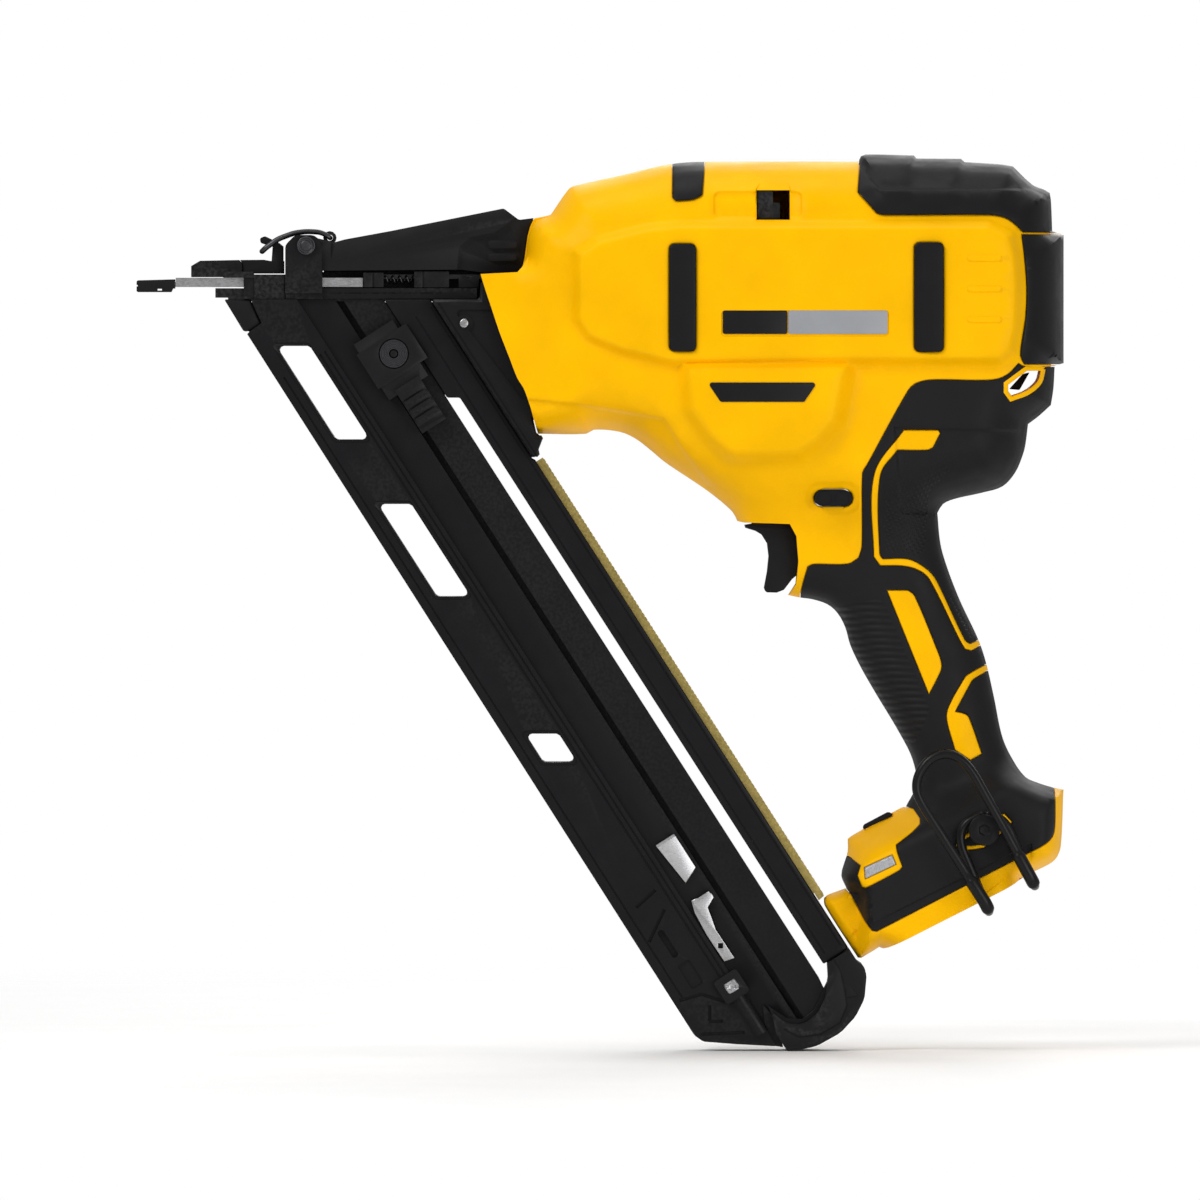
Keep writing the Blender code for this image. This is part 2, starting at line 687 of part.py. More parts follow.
def columns(name, chosen, hand, look, group=nailer):
    """A closed body made of the chosen cells, each from its bottom to its top level."""
    chosen = mended(chosen)
    spot, verts, faces = {}, [], []

    def vertex(i, key):
        y = level(key, i)
        tag = (i, round(y, 4))
        if tag not in spot:
            spot[tag] = len(verts)
            verts.append((POINTS[i].x * MM, hand * y * MM, POINTS[i].y * MM))
        return spot[tag]

    def drop(i, start, end):
        """Corners down one vertical edge, with every level that meets it on the way."""
        y0, y1 = level(start, i), level(end, i)
        keys = [k for k in used[i] if min(y0, y1) < level(k, i) < max(y0, y1)]
        keys.sort(key=lambda k: level(k, i), reverse=y0 > y1)
        return [vertex(i, k) for k in (start, *keys, end)]

    def wall(a, b, high, low):
        ring = drop(b, high, low) + drop(a, low, high)
        ring = [v for n, v in enumerate(ring) if v != ring[n - 1]]
        if len(ring) > 2:
            faces.append(ring)

    used = {}
    for n, (face, _) in enumerate(CELLS):
        for i in face:
            used.setdefault(i, set()).update(chosen[n] or ())
    shared = {}
    for n, (face, _) in enumerate(CELLS):
        if chosen[n]:
            for k in range(3):
                pair = (face[k - 1], face[k])
                shared.setdefault(frozenset(pair), []).append((n, pair))
            faces.append([vertex(i, chosen[n][0]) for i in face])
            faces.append([vertex(i, chosen[n][1]) for i in reversed(face)])
    for owners in shared.values():
        n, (a, b) = owners[0]
        if len(owners) == 1:
            wall(a, b, *chosen[n])
            continue
        m = owners[1][0]
        for row in (0, 1):
            if chosen[n][row] != chosen[m][row]:
                wall(a, b, chosen[n][row], chosen[m][row])
    mesh = bpy.data.meshes.new(name)
    mesh.from_pydata(verts, [], faces)
    work = bmesh.new()
    work.from_mesh(mesh)
    bmesh.ops.recalc_face_normals(work, faces=work.faces)
    work.to_mesh(mesh)
    work.free()
    return add(name, mesh, look, group)


SIDES = {"left": -1, "right": 1}
SKIN_LOOK = {"rear_vent": BLACK, "led_lens": LENS}
ONE_PIECE = ("rear_bumper", "rear_vent", "top_pad")
for word, hand in SIDES.items():
    columns("housing_" + word, shell_cells(hand), hand, YELLOW)
for skin in SKINS:
    look = SKIN_LOOK.get(skin, RUBBER)
    if skin in ONE_PIECE:
        whole = columns(skin, skin_cells(skin, -1), -1, look)
        other = columns(skin + "_half", skin_cells(skin, 1), 1, look, cutters)
        combine(whole, other, "UNION")
        continue
    columns(skin + "_left", skin_cells(skin, -1), -1, look)
    if skin != "led_lens":
        columns(skin + "_right", skin_cells(skin, 1), 1, look)


# ---------------------------------------------------------------- handle and foot
hole = disc(*TRIGGER, 1.6)
trigger = side("trigger", rounded([
    (239.3, -93.7), (242.2, -93.2), (240.9, -90, 2.4), (243, -87.3, 2.4), (250, -87.8),
    (261.5, -90.5, 2), (264, -96, 2), (264, -110, 2), (258, -115), (254.8, -119.2, 1.5),
    (252, -120.3), (247.6, -120.2, 1.2), (247, -118.5), (248.2, -112), (248.8, -106),
    (248.2, -101), (246, -97.5), (243.5, -96), (239.6, -94.8),
]), -8.5, 8.5, RUBBER, holes=[hole], edge=1.2)
pivot(trigger, TRIGGER[0], 0, TRIGGER[1])
rod("trigger_pin", (TRIGGER[0], -8.9, TRIGGER[1]), (TRIGGER[0], 8.9, TRIGGER[1]), 1.35)
coil("trigger_spring", (264.6, 0, -104), (267.6, 0, -104), 2.6, 0.3, 3)
side("trigger_switch", rect(268, -108, 284, -89.5, 1.0), -8.5, 8.5, GREY, edge=0.6)
reach = skin_depth(274, -83) + 1.4
lock = side("lock_button", [tuple(v) for v in ring_offset(LOCK_SLOT, 0.35)], -reach, reach,
            RUBBER, edge=0.7)
well = skin_depth(292, -210)
button = side("mode_button", [tuple(v) for v in ring_offset(BUTTON, 0.3)], -well - 1.0,
              -well + 0.2, RUBBER, edge=0.4)
lever = side("stall_lever", rect(244.2, 26.6, 250.2, 37.4, 0.6), -31.8, -25.2, BLACK)
combine(lever, box("stall_flange", (241.6, -27.4, 24.9), (253, -25.4, 33)), "UNION")

OUT, IN = -46.5, -36.0
hook_path = [
    (331.5, IN, -207.5), (326, IN, -210), (323.5, IN, -214.5), (324.2, IN, -220),
    (332, IN, -238.5), (334, IN - 1.2, -243.2), (334.8, IN - 4.5, -245), (334.4, OUT + 1.5, -244.2),
    (333, OUT, -241), (320.5, OUT, -221.5), (308.8, OUT, -203.2), (306.4, OUT, -198.3),
    (306.3, OUT, -193.5), (308.3, OUT, -188.5), (312, OUT, -184.6), (316.5, OUT, -182.8),
    (321, OUT, -183.4), (325, OUT, -186.2), (328.5, OUT, -190.6), (340.5, OUT, -212),
    (351, OUT, -231.5), (352.4, OUT + 1.5, -234.2), (352.8, IN - 4.5, -235), (352, IN - 1.2, -233.2),
    (350, IN, -229), (342.5, IN, -212), (339.5, IN, -208.6), (334.8, IN, -206.8),
]
wire("belt_hook", hook_path, 1.65, RUBBER, resolution=1)
screw = rod("belt_hook_screw", (333, -40.2, -213), (333, -37.95, -213), 6.2, DARK_STEEL, 16)
combine(screw, rod("hook_shank", (333, -38.2, -213), (333, -8, -213), 1.9, sides=12,
                   group=cutters), "UNION")
combine(screw, rod("hook_drive", (333, -41, -213), (333, -39.2, -213), 2.2, sides=6,
                   group=cutters))

ALONG_FOOT = Vector((0.891, 0.453))
INTO_FOOT = Vector((-0.453, 0.891))


def foot(e, n):
    return tuple(Vector((294, -260.6)) + ALONG_FOOT * e + INTO_FOOT * n)


terminals = side("terminal_block", [foot(10, 8.5), foot(52, 8.5), foot(52, 17), foot(10, 17)],
                 -28.2, 28.2, BLACK)
for k in (-8, 0, 8):
    slot = side("terminal_slot", [foot(8, 7), foot(40, 7), foot(40, 13), foot(8, 13)],
                k - 1.2, k + 1.2, BLACK, group=cutters)
    combine(terminals, slot)

for n, (x, z) in enumerate(SCREWS):
    seat = max(max(DEPTH[i] for i, p in enumerate(POINTS)
                   if (p - Vector((x, z))).length < 3.5) - 5.5, 3.0) + 0.3
    name = "housing_screw_%d" % (n + 1)
    head = rod(name, (x, seat, z), (x, seat + 2.2, z), 2.6, DARK_STEEL, 12)
    combine(head, rod("shank", (x, -6, z), (x, seat + 0.4, z), 1.05, sides=8, group=cutters),
            "UNION")
    combine(head, rod("drive", (x, seat + 1.1, z), (x, seat + 3, z), 1.2, sides=6,
                      group=cutters))

# ---------------------------------------------------------------- drive inside the housing
frame_side = rounded([(158.6, -12), (212, -12), (220, -44, 6), (236, -58, 6), (256, -58, 6),
                      (272, -44, 6), (284, -11.6), (328, -11.6), (328, 10.6), (322, 12),
                      (316, 27, 4), (262, 27, 4), (252, 11), (158.6, 11)])
drive_frame = side("drive_frame", frame_side, 15, 18, ALU, holes=[disc(*MOTOR, 4.3)])
combine(drive_frame, side("frame_left", frame_side, -18, -15, ALU, group=cutters,
                          holes=[disc(*MOTOR, 4.3)]), "UNION")
end_holes = [disc(y, -1, 2.2, 12) for y in (-10, 10)]
slot = rect(-3, 2, 3, 7)
for x0, x1, holes in ((158.6, 164, [*end_holes, slot]), (322, 328, end_holes)):
    plate = front("frame_end", rect(-15.5, -11.5, 15.5, 10.5), x0, x1, ALU, holes,
                  group=cutters)
    combine(drive_frame, plate, "UNION")
combine(drive_frame, rod("arm_pin", (274, -17, 20), (274, 17, 20), 2.0, sides=12,
                         group=cutters), "UNION")
combine(drive_frame, box("solenoid_seat", (292, -16, 17.5), (312, 16, 23.1)), "UNION")

turned("flywheel", [(4.25, -12), (4.25, -7), (22, -7), (22, 12), (ROTOR_R, 12),
                    (ROTOR_R, -11), (ROTOR_R - 1, -12)], MOTOR, STEEL, 32)
rod("motor_shaft", (MOTOR[0], -20.5, MOTOR[1]), (MOTOR[0], 20.5, MOTOR[1]), 3.9, DARK_STEEL)
stator = turned("stator", [(5, -5.5), (5, 14.6), (9, 14.6), (9, 10.5), (20.8, 10.5), (20.8, -5.5)],
                MOTOR, COPPER, 24)
for k in range(6):
    a = math.pi * k / 3
    x, z = MOTOR[0] + 16.5 * math.cos(a), MOTOR[1] + 16.5 * math.sin(a)
    combine(stator, rod("stator_slot", (x, -7, z), (x, 12, z), 2.2, sides=6, group=cutters))

driver = side("driver", rounded([(240, -7.2, 1), (312, -7.2, 1), (312, 5), (240, 5)]), -4.6, 4.6,
              DARK_STEEL)
combine(driver, box("driver_blade", (93, -1.2, 3.2), (241, 1.2, 4.9)), "UNION")
ears = front("driver_ears", rect(-13.6, -4.5, 13.6, 2.5), 304, 311, STEEL,
             [disc(y, -1, 2.3, 12) for y in (-10, 10)], group=cutters)
combine(driver, ears, "UNION")
for word, hand in SIDES.items():
    y = 10 * hand
    rod("return_rod_" + word, (158.9, y, -1), (327.7, y, -1), 1.9, sides=12)
    coil("return_spring_" + word, (164.5, y, -1), (303.5, y, -1), 3.1, 0.45, 18, sides=5)
bumper = front("bumper", rect(-6, -9, 6, 9, 1), 164.3, 170, RUBBER, [rect(-2.2, 2, 2.2, 6.4)])
roller = turned("pinch_roller", [(2, -4.5), (2, 4.5), (7.4, 4.5), (8, 4), (8, -4), (7.4, -4.5)],
                (246, 14), STEEL, 24)
arm_side = rounded([(240.5, 14, 5), (243, 9.5, 5), (250, 10, 4), (277, 15.5, 4), (279, 22, 4),
                    (271, 25, 4), (244, 19.5, 4)])
roller_arm = side("roller_arm", arm_side, 5.2, 8.2, ALU, holes=[disc(274, 20, 2.3, 12)])
combine(roller_arm, side("arm_left", arm_side, -8.2, -5.2, ALU, group=cutters,
                         holes=[disc(274, 20, 2.3, 12)]), "UNION")
combine(roller_arm, box("arm_bridge", (258, -6, 15.2), (264, 6, 21)), "UNION")
combine(roller_arm, rod("roller_axle", (246, -8.2, 14), (246, 8.2, 14), 1.7, sides=12,
                        group=cutters), "UNION")
combine(roller_arm, side("arm_horn", [(268, 21), (277, 21), (275, 36), (271, 36)], -1.5, 1.5,
                         ALU, group=cutters), "UNION")
combine(roller_arm, box("horn_root", (264, -6, 20.2), (276, 6, 23.2)), "UNION")
combine(roller_arm, rod("arm_clear", (274, -9, 20), (274, 9, 20), 2.3, sides=12, group=cutters))
pivot(roller_arm, 274, 0, 20)
solenoid = rod("solenoid", (288, 0, 33), (316, 0, 33), 9.5, GREY, 20)
combine(solenoid, rod("solenoid_bore", (286, 0, 33), (312, 0, 33), 3.3, sides=12, group=cutters))
rod("solenoid_plunger", (276.6, 0, 33), (308, 0, 33), 3.0, STEEL, 12)

# ---------------------------------------------------------------- nose
nose_frame = side("nose_frame", [
    magazine_at(67.8, -5), (135.1, -5), (135.5, 2.4), (158.2, 2.4), (158.2, -51.5), (155.9, -51.5),
    (157.5, -58.3), (160.3, -58.6), (158.2, -64), (158.8, -67), magazine_at(67.8, -66.6),
], -17, 17, BLACK, edge=1.0)
nosepiece = box("nosepiece", (42.2, -9, -4.7), (73.2, 9, 4.9), BLACK, nailer)
DOOR_PIN = (37.5, 7.6)


def about_pin(r, z_top, z_low, steps=6):
    """Points on the right of the door pin at radius r, from one height to the other."""
    top = math.asin((z_top - DOOR_PIN[1]) / r)
    low = math.asin((z_low - DOOR_PIN[1]) / r)
    angles = [top + (low - top) * k / steps for k in range(steps + 1)]
    return [(DOOR_PIN[0] + r * math.cos(a), DOOR_PIN[1] + r * math.sin(a)) for a in angles]


tip = side("nose_tip", [(21.5, 3.9), (21.5, 8.2), (25, 10.3), *about_pin(4.15, 10.6, 3.9)],
           -7, 7, BLACK, group=cutters)
combine(nosepiece, tip, "UNION")
for hand in (-1, 1):
    cheek = sorted((hand * 6.4, hand * 8.8))
    combine(nosepiece, box("nose_cheek", (34, cheek[0], 3.7), (46, cheek[1], 6)), "UNION")
combine(nosepiece, box("nose_shelf", (31, -6, -4.2), (46, 6, -0.5)), "UNION")
combine(nosepiece, box("nose_rail", (60, -8, -4.6), (134, 8, -0.5)), "UNION")
combine(nosepiece, box("nose_wall", (72, 6.5, -1), (134, 10.3, 6)), "UNION")
combine(nosepiece, box("nose_fence", (73.4, 9.3, 5), (133.8, 10.3, 9)), "UNION")
combine(nosepiece, box("nail_slot", (33.5, -1.7, -6), (92, 1.7, 3.5)))
combine(nosepiece, box("blade_slot", (20, -1.7, 3), (140, 1.7, 5.2)))
combine(nosepiece, box("tongue_slot", (34.2, -4.3, 5.1), (42, 4.3, 12)))
for hand in (-1, 1):
    wall = sorted((hand * 3.6, hand * 6.2))
    combine(nosepiece, box("trip_slot", (41, wall[0], -0.4), (75, wall[1], 3.9)))
    ear = sorted((hand * 9.4, hand * 11.3))
    plate = side("latch_ear", rounded([(58.6, -2.5), (58.6, 16.5, 3), (62.5, 20.4, 3),
                                       (70.1, 20.4, 3), (73, 17, 3), (73, -2.5)]), *ear, BLACK,
                 group=cutters, holes=[disc(*LATCH, 2.1)])
    combine(nosepiece, plate, "UNION")
    foot_y = sorted((hand * 8, hand * 10))
    combine(nosepiece, box("ear_foot", (59, foot_y[0], -2.2), (72.6, foot_y[1], 4.6)), "UNION")
combine(nosepiece, rod("door_pin", (DOOR_PIN[0], -6, DOOR_PIN[1]), (DOOR_PIN[0], 6, DOOR_PIN[1]),
                       1.1, sides=12, group=cutters), "UNION")

door = side("nose_door", [*reversed(about_pin(4.4, 10.6, 5.3)), (50, 10.7), (53, 10.2),
                          (58, 10.2), (58, 5.3)], -6, 6, BLACK)
hook = side("door_hook", rounded([
    (52.8, 6), (57.7, 6), (57.7, 16), (56, 17.4), (50.5, 20, 1), (48.5, 19.2, 0.8),
    (48.8, 17.3, 0.8), (53.5, 15.8),
]), -4.5, 4.5, BLACK, group=cutters)
combine(door, hook, "UNION")
tongue = side("door_tongue", rounded([(44, 6), (35.1, 5.5, 2.4), (35.1, 9.9, 2.4), (44, 9.9)]),
              -4, 4, BLACK, group=cutters)
combine(door, tongue, "UNION")
combine(door, rod("tongue_bore", (DOOR_PIN[0], -5, DOOR_PIN[1]), (DOOR_PIN[0], 5, DOOR_PIN[1]),
                  1.35, sides=12, group=cutters))
pivot(door, DOOR_PIN[0], 0, DOOR_PIN[1])

BAIL = (76, 19.4)
latch = side("latch_lever", rounded([
    (61.2, 13, 1.5), (61.2, 8, 1.5), (63, 6.6), (75, 6.4), (128, 6.8), (137.3, 5.6), (149.8, 5.7),
    (151.6, 8.2), (152.4, 12), (153.5, 20), (154.6, 24), (156.2, 27.1), (150.5, 26.4, 1),
    (144.5, 30.9, 1.5), (100, 22), (82, 18.7), (78, 17.6), (71, 19.2, 2), (64, 19.4, 3),
]), -9, 9, BLACK, holes=[disc(*LATCH, 2.2)])
lug = side("bail_lug", disc(*BAIL, 2.6, 12), -4.4, 4.4, BLACK, group=cutters)
combine(latch, lug, "UNION")
combine(latch, rod("bail_bore", (BAIL[0], -10, BAIL[1]), (BAIL[0], 10, BAIL[1]), 1.25, sides=12,
                   group=cutters))
pivot(latch, LATCH[0], 0, LATCH[1])
latch_pin = rod("latch_pin", (LATCH[0], -11.8, LATCH[1]), (LATCH[0], 11.8, LATCH[1]), 1.9, BLACK)
for y0, y1 in ((-12.9, -11.6), (11.6, 12.9)):
    combine(latch_pin, rod("pin_head", (LATCH[0], y0, LATCH[1]), (LATCH[0], y1, LATCH[1]), 3.6,
                           sides=24, group=cutters), "UNION")
bail_path = [
    (BAIL[0], -2.4, BAIL[1]), (BAIL[0], -5.4, BAIL[1]), (74.9, -6.2, 20.2), (72, -6.2, 21.6),
    (67, -6.2, 21.9), (62, -6.2, 21.3), (55.5, -6.2, 18.9), (50.8, -6.2, 15.4),
    (49.3, -5.6, 14),
]
bail = wire("latch_bail", bail_path + [(x, -y, z) for x, y, z in reversed(bail_path)], 1.0,
            STEEL, resolution=1)
pivot(bail, BAIL[0], 0, BAIL[1])

trip = plan("contact_trip", [
    (4, -3), (15.4, -3), (15.4, -5.9), (89, -5.9), (89, -3.9), (29.8, -3.9), (29.8, 3.9),
    (89, 3.9), (89, 5.9), (15.4, 5.9), (15.4, 3), (4, 3),
], 0, 3.6, STEEL)
combine(trip, box("trip_step", (3, -4, 1.8), (15.35, 4, 4)))
combine(trip, box("trip_groove", (3, -1.7, 2.9), (31, 1.7, 4)))
pad = side("nose_pad", [(0, -1.7), (0.5, -2), (13.5, -2), (14.2, -0.6), (15, -0.6), (15, 3),
                        (0.5, 2.6), (0, 2.1)], -6.4, 6.4, RUBBER, holes=[rect(8, -1.4, 10, -0.7)])
combine(pad, box("pad_socket", (3.7, -3.3, -0.3), (15.1, 3.3, 2.1)))
carrier = box("trip_carrier", (89.3, -8, -0.1), (97.2, 6.2, 5.6), BLACK, nailer)
combine(carrier, box("carrier_groove", (88, -1.8, 2.8), (98, 1.8, 6)))
guide = box("trip_guide", (109.3, -8, -0.2), (123, 6.2, 6.1), BLACK, nailer)
combine(guide, box("guide_groove", (108, -1.8, 2.8), (124, 1.8, 7)))
combine(guide, rod("guide_bore", (108, -5, 2.9), (120, -5, 2.9), 2.1, sides=12, group=cutters))
coil("trip_spring", (97.6, -5, 2.9), (119.5, -5, 2.9), 1.5, 0.3, 8, sides=5)
rod("frame_rivet", (129, -18.4, -14.3), (129, -17.3, -14.3), 1.8, STEEL)

# ---------------------------------------------------------------- magazine
body_side = [
    (45, -4.9), (49.3, -14.2), (44.4, -17.7), (43.6, -18.6), (219.5, -294.5, 3),
    (223, -297, 2), (236, -298), (251.3, -298.8), (251.3, -294), (249.4, -284.6),
    (256, -289.2, 4), (262.2, -289.6, 4), (267.5, -285.3, 3), (270.4, -279.5, 3),
    magazine(51.2, 341), magazine(52, 335), magazine_at(52, -4.9),
]
section = [
    (-0.5, -10), (23.5, -10), (23.5, -6.4), (36, -6.4), (36, -1.9), (5, -1.9), (5, 1.9),
    (47.5, 1.9), (47.5, -1.9), (38.6, -1.9), (38.6, -6.4), (60, -6.4), (60, 10), (-2, 10),
    (-2, -10),
]
body = along("magazine_body", section[1:], -40, 380, BLACK)
combine(body, side("magazine_side", rounded(body_side), -12, 12, BLACK, group=cutters),
        "INTERSECT")
WINDOWS = ((-23.2, -60.0), (-85.4, -121.8), (-175.8, -187.0))
for top, low in WINDOWS:
    corners = [magazine_at(6.6, top), magazine_at(6.6, low), magazine_at(17.8, low),
               magazine_at(17.8, top)]
    gap = side("magazine_window", rounded([(*c, 1.6) for c in corners], 45), -14, 14, BLACK,
               group=cutters)
    combine(body, gap)

x, z = magazine(21.4, 318.8)
combine(body, rod("screw_hole", (x, -11, z), (x, -2.6, z), 1.9, sides=12, group=cutters))
low = [magazine(21.2, v) for v in (323.5, 341)]
combine(body, rod("magazine_boss", (low[0][0], -8.6, low[0][1]), (low[1][0], -8.6, low[1][1]), 3.2,
                  sides=16, group=cutters), "UNION")

rail = side("magazine_rail", rounded([
    magazine_at(52.3, -4.9), magazine_at(52.3, -43.6), magazine_at(56.5, -43.6),
    magazine(56.5, 331), magazine(68.2, 331), magazine_at(68.2, -67.8), magazine_at(67.5, -67.8),
    magazine_at(67.5, -4.9),
]), -9, 9, BLACK, edge=0.5)
combine(rail, along("strip_seat", rect(67.4, -5.3, 69, 5.3), 98, 306, BLACK, group=cutters))
side("nail_strip", [magazine(67.7, 103.5), magazine(67.7, 303), magazine(71.4, 303),
                    magazine(71.4, 103.5)], -5, 5, ZINC)
cap = side("end_cap", rounded([
    magazine(58, 331.4), magazine(68.2, 331.4), magazine(68.2, 337), (286.3, -267.2, 3),
    (287.3, -271, 4),
    (286.5, -280, 6), (283, -287, 8), (277, -293.5, 8), (268, -298.5, 8), (262, -300),
    (256, -300.5), (251.8, -294), (249.9, -285.3), (256, -289.9, 4), (262.3, -290.2, 4),
    (268, -285.8, 4), (271, -279.8, 4), (272.2, -272),
]), -12.5, 12.5, BLACK)
side("magazine_stop", [(34.5, -4.9), (42.2, -17.6), (44.15, -17.35), (48.95, -14.35),
                       (45.4, -6.6), (44.6, -5)], -8, 8, BLACK, edge=0.5)

pusher = along("pusher", rect(32.6, -11.6, 50.8, -6.8), 26, 52, BLACK)
combine(pusher, along("pusher_cover", rect(31.4, -12.4, 54.4, -9.4), 30, 46, BLACK,
                      group=cutters), "UNION")
combine(pusher, along("pusher_arm", rect(36.5, -7.5, 38.1, -0.5), 31, 50, BLACK, group=cutters),
        "UNION")
combine(pusher, along("pusher_blade", rect(19.5, -1.4, 46, 1.4), 35, 49, BLACK,
                       group=cutters),
        "UNION")
combine(pusher, along("pusher_tab", rect(36.5, -13.4, 47.5, -8), 50, 70, BLACK, group=cutters),
        "UNION")
for k in range(4):
    v = 55 + 4 * k
    combine(pusher, along("tab_groove", rect(35, -14, 49, -12.7), v, v + 1.6, BLACK,
                          group=cutters))
x, z = magazine(44, 37.5)
combine(pusher, rod("roll_pocket", (x, -14, z), (x, -7.6, z), 6.0, sides=24, group=cutters))
combine(pusher, rod("roll_pin", (x, -11.4, z), (x, -7.2, z), 1.4, sides=12, group=cutters), "UNION")
turned("spring_roll", [(1.8, -11.6), (1.8, -7.9), (5.6, -7.9), (5.6, -11.6)], (x, z), STEEL, 24)
side("nail_retainer", [magazine(26, 256), magazine(34.8, 256), magazine(34.8, 272),
                       magazine(28, 275)], -8.2, -6.7, STEEL, edge=0.3)
clip = side("retainer_clip", rounded([
    magazine(26.2, 281.9), magazine(34.4, 283.4), magazine(34.3, 285.5), magazine(30.2, 287.6),
    magazine(28.1, 296.8), magazine(28.3, 310), magazine(24.2, 309), magazine(24, 296.3),
    magazine(24.8, 286.6),
]), -9.2, -7.6, STEEL)
x, z = magazine(26.3, 303)
combine(clip, box("clip_eye", (x - 1, -10, z - 1), (x + 1, -6, z + 1)))
x, z = magazine(21.4, 318.8)
screw = rod("clip_screw", (x, -12, z), (x, -10.1, z), 3.2, STEEL, 16)
combine(screw, rod("clip_shank", (x, -10.3, z), (x, -3, z), 1.5, sides=12, group=cutters), "UNION")
combine(screw, rod("clip_drive", (x, -13, z), (x, -11.2, z), 1.5, sides=6, group=cutters))
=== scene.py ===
"""Looks of a cordless angled finish nailer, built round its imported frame. Lengths in mm."""

import json
import math
from itertools import groupby

import bmesh
import bpy
import numpy as np
from mathutils import Matrix, Vector, geometry

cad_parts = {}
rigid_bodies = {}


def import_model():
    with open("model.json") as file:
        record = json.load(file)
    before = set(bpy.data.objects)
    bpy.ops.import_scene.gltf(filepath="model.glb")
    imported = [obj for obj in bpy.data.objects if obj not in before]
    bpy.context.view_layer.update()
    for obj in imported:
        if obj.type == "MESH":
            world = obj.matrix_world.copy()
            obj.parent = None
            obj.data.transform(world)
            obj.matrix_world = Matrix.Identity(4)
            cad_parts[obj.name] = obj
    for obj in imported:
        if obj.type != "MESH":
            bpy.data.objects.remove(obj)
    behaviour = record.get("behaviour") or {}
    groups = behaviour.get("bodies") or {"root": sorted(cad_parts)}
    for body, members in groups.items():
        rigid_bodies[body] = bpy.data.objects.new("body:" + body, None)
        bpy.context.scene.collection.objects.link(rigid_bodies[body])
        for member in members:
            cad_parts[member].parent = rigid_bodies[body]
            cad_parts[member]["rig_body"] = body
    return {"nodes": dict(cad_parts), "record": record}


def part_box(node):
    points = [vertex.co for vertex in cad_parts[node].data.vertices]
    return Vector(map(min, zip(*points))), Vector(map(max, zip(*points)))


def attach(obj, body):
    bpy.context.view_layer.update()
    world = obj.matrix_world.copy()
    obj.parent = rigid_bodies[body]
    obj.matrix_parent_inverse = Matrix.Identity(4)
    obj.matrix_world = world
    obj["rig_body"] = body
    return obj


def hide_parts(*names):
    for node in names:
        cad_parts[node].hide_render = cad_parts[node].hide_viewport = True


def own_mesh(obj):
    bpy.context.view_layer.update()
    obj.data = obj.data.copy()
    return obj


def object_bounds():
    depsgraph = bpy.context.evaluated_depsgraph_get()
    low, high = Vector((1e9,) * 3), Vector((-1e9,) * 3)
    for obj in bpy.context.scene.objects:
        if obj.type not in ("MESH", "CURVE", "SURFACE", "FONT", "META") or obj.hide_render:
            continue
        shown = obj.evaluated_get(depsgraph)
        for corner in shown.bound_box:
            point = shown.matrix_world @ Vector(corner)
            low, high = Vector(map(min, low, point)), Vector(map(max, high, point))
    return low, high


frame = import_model()
cad_box = [list(corner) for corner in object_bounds()]
nodes = frame["nodes"]
SLOT_OF = {s["node"]: s["material_slot"] for s in frame["record"]["subparts"]}

MM = 0.001
GAP = 0.3                 # running gap between neighbouring pieces
WALL = 4.2                # housing skin to cavity
SKIN = 1.4                # rubber overmould thickness
SEAM = 0.15               # half of the gap between moulded pieces, and between the halves
SOFT_EDGE = 0.8           # radius on the edges of moulded pieces
BODY_HALF = 34.0          # half width of the drive housing
GRIP_HALF = 17.5          # half width of the handle
FOOT_HALF = 33.0          # half width of the battery foot
SLANT = math.radians(32.7)    # magazine, from the vertical
MAG_X, MAG_Z = 44.0, -18.5    # top of the magazine's front edge
LATCH = (66.8, 16.2)      # latch lever axis
BAIL = (76.0, 19.4)       # wire bail axis
HOOK_SCREW = (333, -213)  # belt hook screw, through the whole foot
HOOK_HOLE, HOOK_BOSS = 2.3, 5.5           # radii round it
MORE_SCREWS = [(166, -47), (250, -80), (303, -150), (352, -213), (291, -243), (331, 40)]
SCREWS = [(183, 31), (291, -50), *MORE_SCREWS]    # right side; the first two are in the CAD
SHAFT, HEAD, BOSS = 1.6, 3.4, 4.8         # radii round a housing screw
HEAD_DEEP, SHAFT_DEEP, BUTTON_DEEP = 5.5, 6, 4.4    # holes from the outer surface
HEAD_LEAST = 3.0          # no counterbore is nearer than this to the middle plane
LANYARD_BAND, LANYARD_WALL = 1.8, 3.4     # yellow round the lanyard hole, solid round it
BUTTON_WALL = 2.0         # solid round the mode button
TRIGGER_SPACE = 10.2      # half width of the hollow behind the trigger
SCREW_HEAD, SCREW_THICK = 2.6, 2.2        # radius and height of the added screws' heads
INNER = 0.1               # a cell's middle is at least this far inside a traced circle
FOOT_COS, FOOT_SIN = 0.891, 0.453         # slope of the battery foot's underside


